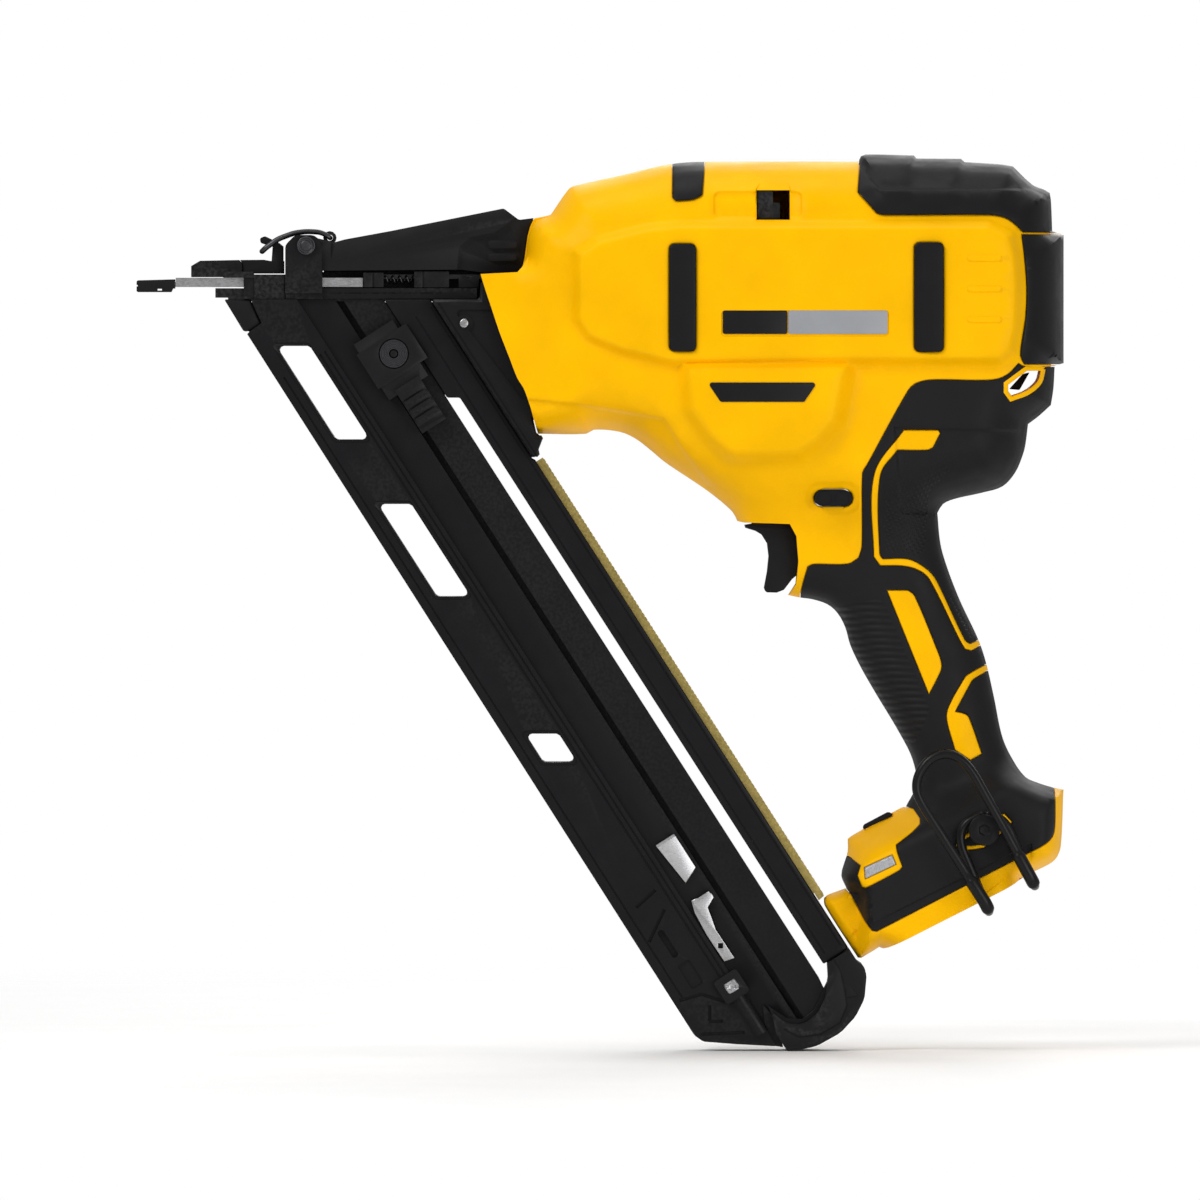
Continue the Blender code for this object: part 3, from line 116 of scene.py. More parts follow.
# ---------------------------------------------------------------- finishes
class Nodes:
    """Short names for building a material's nodes."""

    def __init__(self, name):
        self.mat = bpy.data.materials.new(name)
        self.mat.use_nodes = True
        self.tree = self.mat.node_tree
        self.shader = self.tree.nodes["Principled BSDF"]
        self.place = self.made("TexCoord").outputs["Object"]

    def made(self, kind, **values):
        """A new node of that kind, with values on its sockets."""
        node = self.tree.nodes.new("ShaderNode" + kind)
        for name, value in values.items():
            node.inputs[name.replace("_", " ")].default_value = value
        return node

    def set(self, **values):
        for name, value in values.items():
            self.shader.inputs[name.replace("_", " ")].default_value = value

    def link(self, source, target):
        self.tree.links.new(source, target)

    def colour(self, source):
        self.link(source, self.shader.inputs["Base Color"])

    def gloss(self, source, least, most, low=0.3, high=0.7):
        """Roughness between least and most."""
        self.link(self.ramp(source, low, high, least, most), self.shader.inputs["Roughness"])

    def stretched(self, scale):
        node = self.made("Mapping", Scale=scale)
        self.link(self.place, node.inputs["Vector"])
        return node.outputs["Vector"]

    def noise(self, size, detail=3.0, vector=None):
        """Noise with features of that size in mm."""
        node = self.made("TexNoise", Scale=1 / (size * MM), Detail=detail)
        self.link(vector or self.place, node.inputs["Vector"])
        return node.outputs["Fac"]

    def ramp(self, source, low, high, start=0.0, end=1.0):
        """source from low..high becomes start..end."""
        node = self.made("MapRange", From_Min=low, From_Max=high, To_Min=start, To_Max=end)
        self.link(source, node.inputs["Value"])
        return node.outputs["Result"]

    def maths(self, how, a, b):
        node = self.made("Math")
        node.operation = how
        for socket, value in zip(node.inputs, (a, b)):
            if isinstance(value, (int, float)):
                socket.default_value = value
            else:
                self.link(value, socket)
        return node.outputs["Value"]

    def mix(self, fac, a, b):
        node = self.made("Mix")
        node.data_type = "RGBA"
        self.link(fac, node.inputs["Factor"])
        for socket, value in ((node.inputs["A"], a), (node.inputs["B"], b)):
            if isinstance(value, tuple):
                socket.default_value = (*value, 1.0)
            else:
                self.link(value, socket)
        return node.outputs["Result"]

    def bump(self, height, strength, distance):
        node = self.made("Bump", Strength=strength, Distance=distance * MM)
        self.link(height, node.inputs["Height"])
        self.link(node.outputs["Normal"], self.shader.inputs["Normal"])

    def edges(self):
        """1 on convex edges, broken up by noise: where edge wear and a painted edge highlight
        lighten the colour.
        """
        shape = self.ramp(self.made("NewGeometry").outputs["Pointiness"], 0.56, 0.68)
        return self.maths("MULTIPLY", shape, self.ramp(self.noise(1.3), 0.4, 0.6))


def shade(colour, by):
    return tuple(min(1.0, c * by) for c in colour)


def moulded(name, colour, rough, grain=0.35, depth=0.03, wear_and_highlight=0.25, wear_and_highlight_colour=None, coat=0.0,
            gloss=0.13):
    """Plastic, rubber or paint: mottled colour, edges lightened by wear and a painted highlight,
    uneven gloss, moulded grain.
    """
    n = Nodes(name)
    body = n.mix(n.ramp(n.noise(22.0), 0.3, 0.7), shade(colour, 0.93), shade(colour, 1.05))
    specks = n.ramp(n.noise(0.9, 2.0), 0.35, 0.75, 0.0, 0.14)
    body = n.mix(specks, body, shade(colour, 0.8))
    # lighter convex edges: partly wear, partly a painted highlight where the bevels catch the
    # light
    edge = n.maths("MULTIPLY", n.edges(), wear_and_highlight)
    n.colour(n.mix(edge, body, wear_and_highlight_colour or shade(colour, 2.2)))
    n.gloss(n.noise(9.0, 4.0), rough - 0.06, rough + 0.07)
    n.bump(n.noise(grain, 2.0), 0.5, depth)
    n.set(Coat_Weight=coat, Coat_Roughness=0.3, Specular_IOR_Level=gloss)
    return n.mat


def metal(name, colour, rough, along=(1, 1, 14), wear_and_highlight=0.3):
    """Brushed or cast metal, with lines across the stretched axis and brighter edges, from wear
    and a painted highlight.
    """
    n = Nodes(name)
    lines = n.noise(1.6, 4.0, n.stretched(along))
    body = n.mix(n.ramp(lines, 0.3, 0.7), shade(colour, 0.82), shade(colour, 1.1))
    stain = n.ramp(n.noise(6.0, 5.0), 0.45, 0.75, 0.0, 0.35)
    body = n.mix(stain, body, shade(colour, 0.6))
    # lighter convex edges: partly wear, partly a painted highlight where the bevels catch the
    # light
    edge = n.maths("MULTIPLY", n.edges(), wear_and_highlight)
    n.colour(n.mix(edge, body, shade(colour, 1.5)))
    n.gloss(lines, rough - 0.08, rough + 0.12, 0.25, 0.75)
    n.bump(lines, 0.35, 0.02)
    n.set(Metallic=1.0)
    return n.mat


RUBBER_GLOSS = 0.17
WAVE = 0.314              # scale of a wave texture whose bands are one unit apart


def ribbed(name, colour, rough, pitch):
    """Rubber with level grip ribs moulded in."""
    n = Nodes(name)
    wave = n.made("TexWave", Scale=WAVE / (pitch * MM), Distortion=0.0)
    wave.bands_direction = "Z"
    n.link(n.place, wave.inputs["Vector"])
    # darker in the grooves and lighter on the ribs, following the bump: painted shade and
    # highlight of the relief
    n.colour(n.mix(wave.outputs["Fac"], shade(colour, 0.7), shade(colour, 1.25)))
    n.gloss(n.noise(5.0), rough - 0.05, rough + 0.06)
    n.bump(n.maths("ADD", wave.outputs["Fac"], n.maths("MULTIPLY", n.noise(0.4), 0.15)), 0.9, 0.45)
    n.set(Specular_IOR_Level=RUBBER_GLOSS)
    return n.mat


def dotted(name, colour, rough, pitch):
    """Rubber with a raised dot tread."""
    n = Nodes(name)
    cell = n.made("TexVoronoi", Scale=1 / (pitch * MM), Randomness=0.0)
    turn = n.made("Mapping", Rotation=(0, math.radians(27), 0), Scale=(1, 0.02, 1))
    n.link(n.place, turn.inputs["Vector"])
    n.link(turn.outputs["Vector"], cell.inputs["Vector"])
    dots = n.ramp(cell.outputs["Distance"], 0.22, 0.42, 1.0, 0.0)
    # lighter on the raised dots and darker between them, following the bump: painted highlight and
    # shade of the relief
    n.colour(n.mix(dots, shade(colour, 0.75), shade(colour, 1.2)))
    n.gloss(n.noise(4.0), rough - 0.05, rough + 0.06)
    n.bump(dots, 0.8, 0.3)
    n.set(Specular_IOR_Level=RUBBER_GLOSS)
    return n.mat


def lens_finish(name):
    """Clear grey lens with a moulded diffuser pattern."""
    n = Nodes(name)
    ribs = n.noise(0.8, 1.0, n.stretched((8, 1, 1)))
    n.colour(n.mix(n.ramp(ribs, 0.3, 0.7), (0.30, 0.31, 0.33), (0.62, 0.63, 0.65)))
    n.gloss(n.noise(3.0), 0.08, 0.2)
    n.bump(ribs, 0.5, 0.15)
    n.set(Transmission_Weight=0.25, Coat_Weight=0.6, Coat_Roughness=0.05)
    return n.mat


YELLOW = (0.95, 0.485, 0.0)
BLACK = (0.010, 0.010, 0.011)
DEEP_BLACK = (0.008, 0.008, 0.009)
FINISH = {
    "housing_yellow": moulded("yellow_moulding", YELLOW, 0.40, 0.3, 0.02, 0.12, (1.0, 0.62, 0.05),
                              gloss=0.05),
    "overmould_black": moulded("overmould_rubber", BLACK, 0.56, 0.3, 0.035, 0.15),
    "pad_black": moulded("pad_rubber", DEEP_BLACK, 0.48, 0.35, 0.03, 0.15),
    "moulding_black": moulded("black_moulding", BLACK, 0.38, 0.35, 0.025, 0.45,
                              (0.045, 0.045, 0.046)),
    "nose_black": moulded("black_casting", DEEP_BLACK, 0.36, 0.5, 0.04, 0.4,
                          (0.045, 0.045, 0.045)),
    "magazine_black": moulded("anodised_black", DEEP_BLACK, 0.34, 0.25, 0.012, 0.2,
                              (0.035, 0.035, 0.035)),
    "steel": metal("bright_steel", (0.46, 0.46, 0.47), 0.30),
    "spring_steel": metal("spring_steel", (0.50, 0.50, 0.52), 0.30),
    "dark_steel": metal("blackened_steel", (0.07, 0.07, 0.075), 0.38),
    "zinc_strip": metal("yellow_zinc", (0.44, 0.34, 0.11), 0.36, (2, 2, 2), 0.5),
    "cast_aluminium": metal("cast_aluminium", (0.48, 0.48, 0.5), 0.45, (2, 2, 2)),
    "winding_copper": metal("copper_winding", (0.65, 0.30, 0.12), 0.35, (1, 20, 1)),
    "lens": lens_finish("lens_clear"),
    "switch_grey": moulded("grey_moulding", (0.07, 0.07, 0.075), 0.45),
    "bright_coat": moulded("hook_coat", (0.006, 0.006, 0.006), 0.3, 0.6, 0.04, 0.25,
                           (0.1, 0.1, 0.1), 0.1),
}
RIBS = ribbed("grip_ribs", DEEP_BLACK, 0.55, 2.6)
TREAD = dotted("grip_tread", (0.009, 0.009, 0.010), 0.55, 1.7)
BADGE_GREY = moulded("badge_grey", (0.30, 0.31, 0.33), 0.3, 0.4, 0.01, 0.1, None, 0.4)


# ---------------------------------------------------------------- pieces
def mesh_of(name, verts, faces):
    mesh = bpy.data.meshes.new(name)
    mesh.from_pydata(verts, [], faces)
    return mesh


def work_on(mesh):
    work = bmesh.new()
    work.from_mesh(mesh)
    return work


def write_back(work, mesh):
    """The bmesh, its faces turned outwards, becomes the mesh."""
    bmesh.ops.recalc_face_normals(work, faces=work.faces)
    work.to_mesh(mesh)
    work.free()
    return mesh


def weld(mesh, flatten=False):
    """Close points become one; flatten also makes every flat area one face."""
    work = work_on(mesh)
    bmesh.ops.remove_doubles(work, verts=work.verts, dist=2e-6)
    if flatten:
        bmesh.ops.dissolve_limit(work, angle_limit=math.radians(0.8), verts=work.verts,
                                 edges=work.edges)
    return write_back(work, mesh)


def thing(name, data):
    obj = bpy.data.objects.new(name, data)
    bpy.context.scene.collection.objects.link(obj)
    return obj


def thing_from(name, work):
    """A new object of the bmesh as it is."""
    mesh = bpy.data.meshes.new(name)
    work.to_mesh(mesh)
    work.free()
    return thing(name, mesh)


def settled(obj):
    """The object's modifiers are applied to a mesh of its own."""
    bpy.context.view_layer.update()
    shape = obj.evaluated_get(bpy.context.evaluated_depsgraph_get())
    mesh = bpy.data.meshes.new_from_object(shape)
    mesh.transform(obj.matrix_world)
    name = obj.name
    bpy.data.objects.remove(obj, do_unlink=True)
    return thing(name, weld(mesh))


def rounded_edges(obj, width, segments=2, angle=30.0):
    mod = obj.modifiers.new("edges", "BEVEL")
    mod.width = width * MM
    mod.segments = segments
    mod.limit_method = "ANGLE"
    mod.angle_limit = math.radians(angle)
    mod.use_clamp_overlap = True
    mod.harden_normals = False
    return settled(obj)


def smooth_faces(obj, angle=38.0):
    obj.data.shade_smooth()
    obj.data.set_sharp_from_angle(angle=math.radians(angle))
    return obj


def dressed(obj, width, segments=2):
    return smooth_faces(rounded_edges(obj, width, segments))


def cut(obj, *tools, how="DIFFERENCE"):
    """Boolean with each tool in turn; the tools are used up."""
    for tool in tools:
        mod = obj.modifiers.new("cut", "BOOLEAN")
        mod.operation = how
        mod.solver = "EXACT"
        mod.object = tool
    obj = settled(obj)
    for tool in tools:
        bpy.data.objects.remove(tool, do_unlink=True)
    return obj


def join(obj, *tools):
    return cut(obj, *tools, how="UNION")


def show(obj, body, slot, finish=None):
    """A finished piece: it rides on a body and takes its finish from a slot."""
    if not obj.data.materials:
        obj.data.materials.append(finish or FINISH[slot])
    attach(obj, body)
    return obj


def add(obj, slot, finish=None):
    """A piece that the CAD does not have, fixed to the housing."""
    return show(obj, "housing", slot, finish)


def stand_for(obj, *names, finish=None):
    """A finished piece in place of CAD nodes."""
    first = nodes[names[0]]
    show(obj, first["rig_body"], SLOT_OF[names[0]], finish)
    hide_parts(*names)
    return obj


def copy_of(node):
    """A CAD node's solid as a new object with whole flat faces."""
    mesh = nodes[node].data.copy()
    mesh.materials.clear()
    weld(mesh, flatten=True)
    for name in [a.name for a in mesh.attributes if a.name.startswith(("custom_normal", "sharp"))]:
        mesh.attributes.remove(mesh.attributes[name])
    return thing(node + "_fine", mesh)


def softened(node, width, segments=2, cuts=(), adds=()):
    """A CAD node's shape with details and rounded edges, standing for the node."""
    obj = copy_of(node)
    if adds:
        obj = join(obj, *adds)
    if cuts:
        obj = cut(obj, *cuts)
    if width:
        obj = rounded_edges(obj, width, segments)
    return stand_for(smooth_faces(obj), node)


def rounded(corners, sweep=15.0):
    """Outline from corners (a, b) or (a, b, radius), each radius as an arc."""
    out = []
    count = len(corners)
    for i, corner in enumerate(corners):
        p = Vector(corner[:2])
        if len(corner) < 3:
            out.append(p)
            continue
        before = Vector(corners[i - 1][:2]) - p
        after = Vector(corners[(i + 1) % count][:2]) - p
        half = before.angle(after) / 2
        reach = min(corner[2] / math.tan(half), 0.49 * before.length, 0.49 * after.length)
        radius = reach * math.tan(half)
        before.normalize()
        after.normalize()
        centre = p + (before + after).normalized() * (radius / math.sin(half))
        start = p + before * reach - centre
        end = p + after * reach - centre
        turn = start.angle_signed(end)
        steps = max(1, round(abs(math.degrees(turn)) / sweep))
        for k in range(steps + 1):
            out.append(centre + Matrix.Rotation(-turn * k / steps, 2) @ start)
    return [(v.x, v.y) for v in out]


def rect(a0, b0, a1, b1, r=0.0):
    corners = [(a0, b0), (a1, b0), (a1, b1), (a0, b1)]
    return rounded([(*c, r) for c in corners]) if r else corners


def disc(a, b, r, sides=32):
    step = 2 * math.pi / sides
    return [(a + r * math.cos(k * step), b + r * math.sin(k * step)) for k in range(sides)]


def side(name, outline, y0, y1, holes=()):
    """Outline (x, z), with holes, given a thickness along Y."""
    curve = bpy.data.curves.new(name, "CURVE")
    curve.dimensions = "2D"
    curve.fill_mode = "BOTH"
    curve.extrude = (y1 - y0) / 2 * MM
    for loop in (outline, *holes):
        spline = curve.splines.new("POLY")
        spline.points.add(len(loop) - 1)
        for point, (a, b) in zip(spline.points, loop):
            point.co = (a * MM, b * MM, 0, 1)
        spline.use_cyclic_u = True
    place = Matrix(((1, 0, 0, 0), (0, 0, -1, (y0 + y1) / 2), (0, 1, 0, 0), (0, 0, 0, 1)))
    place.translation *= MM
    obj = thing(name, curve)
    obj.matrix_world = place
    return settled(obj)


def magazine(t, v):
    """World (x, z) of a point t across and v down the magazine."""
    c, s = math.cos(SLANT), math.sin(SLANT)
    return MAG_X + t * c + v * s, MAG_Z + t * s - v * c


def magazine_at(t, z):
    """World (x, z) of the point t across the magazine at height z."""
    return magazine(t, (MAG_Z + t * math.sin(SLANT) - z) / math.cos(SLANT))


def slab(t0, v0, t1, v1, r=0.0):
    """Outline of a rectangle that lies along the magazine."""
    return [magazine(t, v) for t, v in rect(t0, v0, t1, v1, r)]


def slice_of(t0, t1, z0, z1):
    """Corners of a strip along the magazine with level ends."""
    return [magazine_at(t0, z0), magazine_at(t0, z1), magazine_at(t1, z1), magazine_at(t1, z0)]


def box(name, lo, hi):
    work = bmesh.new()
    bmesh.ops.create_cube(work, size=1.0)
    size = [(b - a) * MM for a, b in zip(lo, hi)]
    mid = [(a + b) / 2 * MM for a, b in zip(lo, hi)]
    work.transform(Matrix.Translation(mid) @ Matrix.Diagonal((*size, 1)))
    return thing_from(name, work)


def rod(name, start, end, r, sides=40):
    a, b = Vector(start) * MM, Vector(end) * MM
    work = bmesh.new()
    bmesh.ops.create_cone(work, cap_ends=True, segments=sides, depth=(b - a).length,
                          radius1=r * MM, radius2=r * MM)
    turn = (b - a).to_track_quat("Z", "Y").to_matrix().to_4x4()
    work.transform(Matrix.Translation((a + b) / 2) @ turn)
    return thing_from(name, work)


def tube(name, points, r, sides=12):
    """A wire swept along points, its ends closed by small domes."""
    path = [Vector(p) for p in points]
    last = len(path) - 1
    tangents = [(path[min(i + 1, last)] - path[max(i - 1, 0)]).normalized()
                for i in range(last + 1)]
    normal = tangents[0].orthogonal().normalized()
    rings = []

    def ring(centre, tangent, lift=0.0):
        across = tangent.cross(normal)
        radius = r * math.sqrt(1 - lift * lift)
        rings.append([centre + radius * (normal * math.cos(a) + across * math.sin(a))
                      for a in (2 * math.pi * k / sides for k in range(sides))])

    for i, (p, tangent) in enumerate(zip(path, tangents)):
        normal = (normal - tangent * normal.dot(tangent)).normalized()
        if i == 0:
            for lift in (0.95, 0.75, 0.4):
                ring(p - tangent * r * lift, tangent, lift)
        ring(p, tangent)
        if i == last:
            for lift in (0.4, 0.75, 0.95):
                ring(p + tangent * r * lift, tangent, lift)
    verts = [tuple(v * MM) for one in rings for v in one]
    end = len(verts) - sides
    faces = []
    for i in range(0, end, sides):
        for k in range(sides):
            m = (k + 1) % sides
            faces.append((i + k, i + m, i + sides + m, i + sides + k))
    faces.append(tuple(reversed(range(sides))))
    faces.append(tuple(range(end, len(verts))))
    return smooth_faces(thing(name, weld(mesh_of(name, verts, faces))), 50)


def bent(points, step=1.2, reach=4.0):
    """Way points with their corners rounded: a smooth wire path."""
    pts = [Vector(p) for p in points]
    legs = [pts[0]]
    for a, p, b in zip(pts, pts[1:], pts[2:]):
        cut_in = min(reach, 0.48 * (p - a).length, 0.48 * (b - p).length)
        start = p + (a - p).normalized() * cut_in
        end = p + (b - p).normalized() * cut_in
        for k in range(7):
            u = k / 6
            legs.append(start * (1 - u) ** 2 + p * 2 * u * (1 - u) + end * u ** 2)
    legs.append(pts[-1])
    out = [legs[0]]
    for a, b in zip(legs, legs[1:]):
        parts = max(1, int((b - a).length / (3 * step)))
        out.extend(a.lerp(b, k / parts) for k in range(1, parts + 1))
    return [p for i, p in enumerate(out) if i == 0 or (p - out[i - 1]).length > 0.05]


def helix(start, end, r, turns, sides=16):
    a, b = Vector(start), Vector(end)
    axis = (b - a).normalized()
    u = axis.orthogonal().normalized()
    w = axis.cross(u)
    count = turns * sides
    return [a + (b - a) * (k / count) + r * (u * math.cos(2 * math.pi * k / sides)
            + w * math.sin(2 * math.pi * k / sides)) for k in range(count + 1)]


def lathe(name, profile, centre, steps=48):
    """Closed profile (radius, y) turned about a line along Y through centre (x, z)."""
    verts, faces = [], []
    count = len(profile)
    for k in range(steps):
        a = 2 * math.pi * k / steps
        m = (k + 1) % steps
        for i, (r, y) in enumerate(profile):
            x, z = centre[0] + r * math.cos(a), centre[1] + r * math.sin(a)
            verts.append((x * MM, y * MM, z * MM))
            j = (i + 1) % count
            faces.append((k * count + i, k * count + j, m * count + j, m * count + i))
    return smooth_faces(thing(name, weld(mesh_of(name, verts, faces))))


# ---------------------------------------------------------------- housing outlines (x, z)
LOWER_FRONT = [(158, -57.8), (177, -57.8), (180, -56.2), (190, -57), (196, -59.5), (202, -64),
               (208, -69), (225, -80.5), (234.5, -88.5), (236.5, -92.2)]
TRIGGER_GAP = [(239, -92.7), (257, -93.2), (259.6, -98), (260.4, -108), (259.5, -117)]
GRIP_FRONT = [(256.5, -121.3), (261, -122.3), (266, -123), (272, -125), (276, -128.5),
              (279, -134), (281, -141), (285, -149.5), (291, -160), (300, -175), (305.5, -186),
              (307, -196), (303, -204.6), (301, -205.2), (282, -216), (280, -217.5), (280, -222.5),
              (278.3, -228), (277.5, -232), (279.5, -236.8), (272, -239.6), (270.7, -240.8),
              (270.9, -243.6), (284, -264.2), (285.4, -264.3), (292.5, -260), (294, -260.6)]
FOOT_EDGE = [(294, -260.6), (353, -230.5)]
BACK = [(353, -230.5), (360, -227), (362.5, -224.5), (364, -220), (365, -198), (361.3, -197.3),
        (354, -195), (350, -193), (345.5, -187), (341, -177.5), (337.5, -161), (334.5, -148),
        (331.5, -139), (324, -123), (319, -110), (316.5, -101), (315.3, -89), (317.5, -85.5),
        (322, -83.5), (333, -81), (341, -78.5), (346, -73), (349, -66), (350, -62), (351, -54),
        (355, -51), (360, -46.5), (361, -40), (361.5, -31), (365, -30), (365, 20.5),
        (360.5, 22), (360, 34), (359.5, 37), (357, 38.5), (353, 40), (345, 47.5), (340, 48.3),
        (326, 49.2), (324.5, 50.5), (307, 50.6), (306, 51.8), (287, 52.2), (285.2, 51.5),
        (284.2, 49.4), (226, 49.3), (211, 48.5), (190, 43.8), (172, 39.7), (170, 38.5),
        (163, 28.5), (156.5, 26.5), (154, 21), (152.8, 12)]
FRONT_EDGE = [(152, 8), (150, 5.7), (135.5, 5), (137, 0), (140, -9), (143, -18), (146.5, -27),
              (150, -36), (152.5, -40), (155, -47)]

# pieces let into the housing or laid over it: outline, height above the housing
LANYARD = [(342.5, -41), (342.5, -38.5), (350, -33), (355.5, -33), (354.3, -37), (350, -40.7),
           (344, -43)]
OVERMOULD = [(346.5, -30), (342, -34.5), (336, -36.5), (312, -36.5), (306, -38), (303, -41),
             (287, -70), (285.3, -73), (285.3, -102), (284, -106.5), (280, -108.8), (266, -109),
             (264, -110), (261.5, -119), (261, -123.5), (258, -130), (262, -150), (280, -190),
             (296, -204), (303, -204.8), (305.5, -205.3), (308, -209), (308, -211), (305, -214),
             (298.5, -219), (299, -222), (301, -227.5), (300, -228.8), (286.5, -236),
             (285.2, -235.5), (283.4, -231), (284.7, -227), (280, -224), (274, -224),
             (272, -233), (279.5, -237.2), (286.5, -249.5), (289, -252.7), (291, -253),
             (350, -222.5), (357, -218.8), (360, -216), (361, -212), (361.2, -196.5),
             (362, -190), (347, -170), (345, -150), (330, -100), (352, -90), (368, -62),
             (368, -31.2), (349, -31.2)]
REAR_BUMPER = [(284.3, 60), (284.3, 48), (283.5, 37), (291, 28.5), (293, 28), (335, 28), (341, 27),
               (345, 24.5), (348.4, 21.2), (370, 21.2), (370, 60)]
REAR_VENT = [(347.7, 20.6), (348.7, 12), (349.6, 0), (349.2, -12), (347.2, -27), (348.9, -30.6),
             (370, -30.6), (370, 20.6)]
PAD_FRONT = rounded([(209.5, -25.5, 2), (220, -25.5, 2), (220, 16.8, 2), (209.5, 16.8, 2)], 30)
PAD_REAR = rounded([(305.5, -25.7, 2), (317, -25.7, 2), (317, 17.3, 2), (305.5, 17.3, 2)], 30)
TOP_PAD = [(210.8, 60), (210.8, 35), (212, 33.5), (219, 34.2), (222.5, 36), (223.5, 47.5),
           (224, 60)]
LED_LENS = [(286.4, -232.4), (298.6, -226.6), (297, -222.8), (286, -227.8)]
BUTTON = rounded([(285.5, -214.3, 1), (285.8, -211.6, 1), (296, -206.2, 1.2),
                  (299, -208, 1.2)], 30)
STALL_WINDOW = [(243.8, 26.2), (256.8, 26.2), (256.8, 37.8), (243.8, 37.8)]
LOCK_SLOT = rounded([(266.3, -86.5, 3.4), (281.7, -86.5, 3.4), (281.7, -79.5, 3.4),
                     (266.3, -79.5, 3.4)], 30)
SKINS = {
    "overmould": (OVERMOULD, 0.0),
    "rear_bumper": (REAR_BUMPER, 1.2),
    "rear_vent": (REAR_VENT, 0.3),
    "side_pad_front": (PAD_FRONT, 1.6),
    "side_pad_rear": (PAD_REAR, 1.6),
    "top_pad": (TOP_PAD, 1.4),
    "led_lens": (LED_LENS, 0.2),
}
LEFT_ONLY = ("led_lens", "window", "button")

# where the yellow moulding shows through the rubber, flush with it
STRIPES = {
    "grip_line": [(301.5, -56.3), (315, -56.3), (315.8, -57.5), (313, -63), (311, -64),
                  (299, -64), (292.3, -74), (292.3, -105), (293.5, -107), (303, -107),
                  (308, -109), (313, -113), (316, -118), (326, -139), (328, -140.5),
                  (331.5, -139), (338, -136), (338.5, -138), (328.5, -143), (326, -142.3),
                  (324, -139), (312, -115), (308, -111.5), (302, -109.7), (292.5, -109.5),
                  (290, -106), (290, -73.5)],
    "heel_line": [(342, -145), (327, -152.5), (325, -155), (319.5, -165), (318.7, -170),
                  (322, -182), (328, -186), (332.5, -183.5), (327.5, -169.5), (326, -168),
                  (322, -167), (328, -156), (329.5, -154), (342, -147.7)],
    "grip_bar": [(295.2, -119.3), (303.5, -119.3), (306, -121.5), (315, -143), (316.5, -147.5),
                 (316.5, -150.5), (311.7, -160.2)],
    "hook_line": [(322, -219.5), (322.5, -217), (327, -214), (330, -210), (336, -208.2),
                  (341, -206.8), (344, -210), (339.2, -214.8), (337, -216), (333, -220),
                  (327, -220.8)],
}
HOOK_FIELD = 1.3          # width of the line round the belt hook's screw
GRIP_RIBS = [(270, -127), (292, -122.5), (294, -124.5), (312, -166), (306, -180), (300, -177)]
GRIP_TREAD = [[(299.5, -66), (310.5, -66.5), (315, -59.5), (322, -58), (330, -62), (312, -80),
               (310, -104), (308, -106), (294.2, -104.5), (294.2, -74.5)],
              [(318, -120), (322.5, -124), (329, -138), (327.5, -138.6)]]

# raised and sunk fields on the housing: outline, height, width of the slope
PANEL = [(170.5, -14), (170.5, 15), (180, 20.5), (200, 25.5), (213, 27), (335, 27), (346, 22),
         (348.5, 12), (349.4, 0), (348.8, -15), (346.5, -27), (340, -32), (284, -32), (211, -33),
         (190, -28), (176, -22)]
BULGE = [(211, -26), (211, -34), (213, -50), (222, -63), (230, -70), (235, -71.5), (262, -71),
         (272, -64.5), (280, -55), (284, -34), (284, -26)]
PANEL_SLOPE, BULGE_SLOPE = 5.0, 8.0
FIELDS = {
    "lower_step": ([(150, -43), (175, -45.5), (208, -51), (216, -64), (228, -80), (160, -80),
                    (140, -60)], -2.4, 2.0),
    "lever_trough": (rect(226.5, 26.5, 262, 37.6, 3), -1.3, 1.2),
    "lock_dish": (rect(262.5, -90, 285.5, -76, 6.5), -1.1, 2.2),
    "heel_step": ([(297, -54.5), (352, -56), (356, -70), (350, -90), (300, -90)], -1.2, 1.6),
    "bumper_step": ([(292, 37.5), (352, 37.5), (372, 24), (372, 62), (286, 62), (286, 44)],
                    -1.4, 1.3),
    "tail_rib_1": (rect(326, 9.6, 340, 12.4, 1.3), 0.7, 0.7),
    "tail_rib_2": (rect(326, -2.4, 340, 0.4, 1.3), 0.7, 0.7),
    "tail_rib_3": (rect(326, -14.4, 340, -11.6, 1.3), 0.7, 0.7),
    "badge_seat": (rect(229.8, -19.7, 295.7, -9.3, 1.5), -0.5, 0.4),
    "foot_step": ([(270, -262), (288, -250), (352, -218), (352, -225), (292, -268)], -0.9, 0.8),
}


def arr(points):
    return np.array([tuple(p)[:2] for p in points], float)


def flowing(points, closed=True, step=2.2, corner=34.0):
    """The outline as a smooth curve that keeps corners sharper than that many degrees."""
    pts = arr(points)
    count = len(pts)
    heading = []
    for i in range(count):
        if not closed and i in (0, count - 1):
            heading.append(None)
            continue
        a = pts[i] - pts[i - 1]
        b = pts[(i + 1) % count] - pts[i]
        turn = abs(math.degrees(math.atan2(a[0] * b[1] - a[1] * b[0], a @ b)))
        chord = pts[(i + 1) % count] - pts[i - 1]
        heading.append(None if turn > corner else chord / np.hypot(*chord))
    out = []
    for i in range(count if closed else count - 1):
        p, q = pts[i], pts[(i + 1) % count]
        length = np.hypot(*(q - p))
        start = heading[i] if heading[i] is not None else (q - p) / length
        end = heading[(i + 1) % count]
        end = end if end is not None else (q - p) / length
        parts = max(1, math.ceil(length / step))
        for k in range(parts):
            u = k / parts
            out.append(p * (2 * u ** 3 - 3 * u ** 2 + 1) + q * (3 * u ** 2 - 2 * u ** 3)
                       + length * (start * (u ** 3 - 2 * u ** 2 + u) + end * (u ** 3 - u ** 2)))
    if not closed:
        out.append(pts[-1])
    return np.array(out)


def distance(points, chain):
    """Distance of each point to an open chain."""
    best = np.full(len(points), 1e9)
    for a, b in zip(chain[:-1], chain[1:]):
        leg = b - a
        share = np.clip((points - a) @ leg / max(leg @ leg, 1e-12), 0, 1)
        off = points - a - share[:, None] * leg
        best = np.minimum(best, np.hypot(off[:, 0], off[:, 1]))
    return best


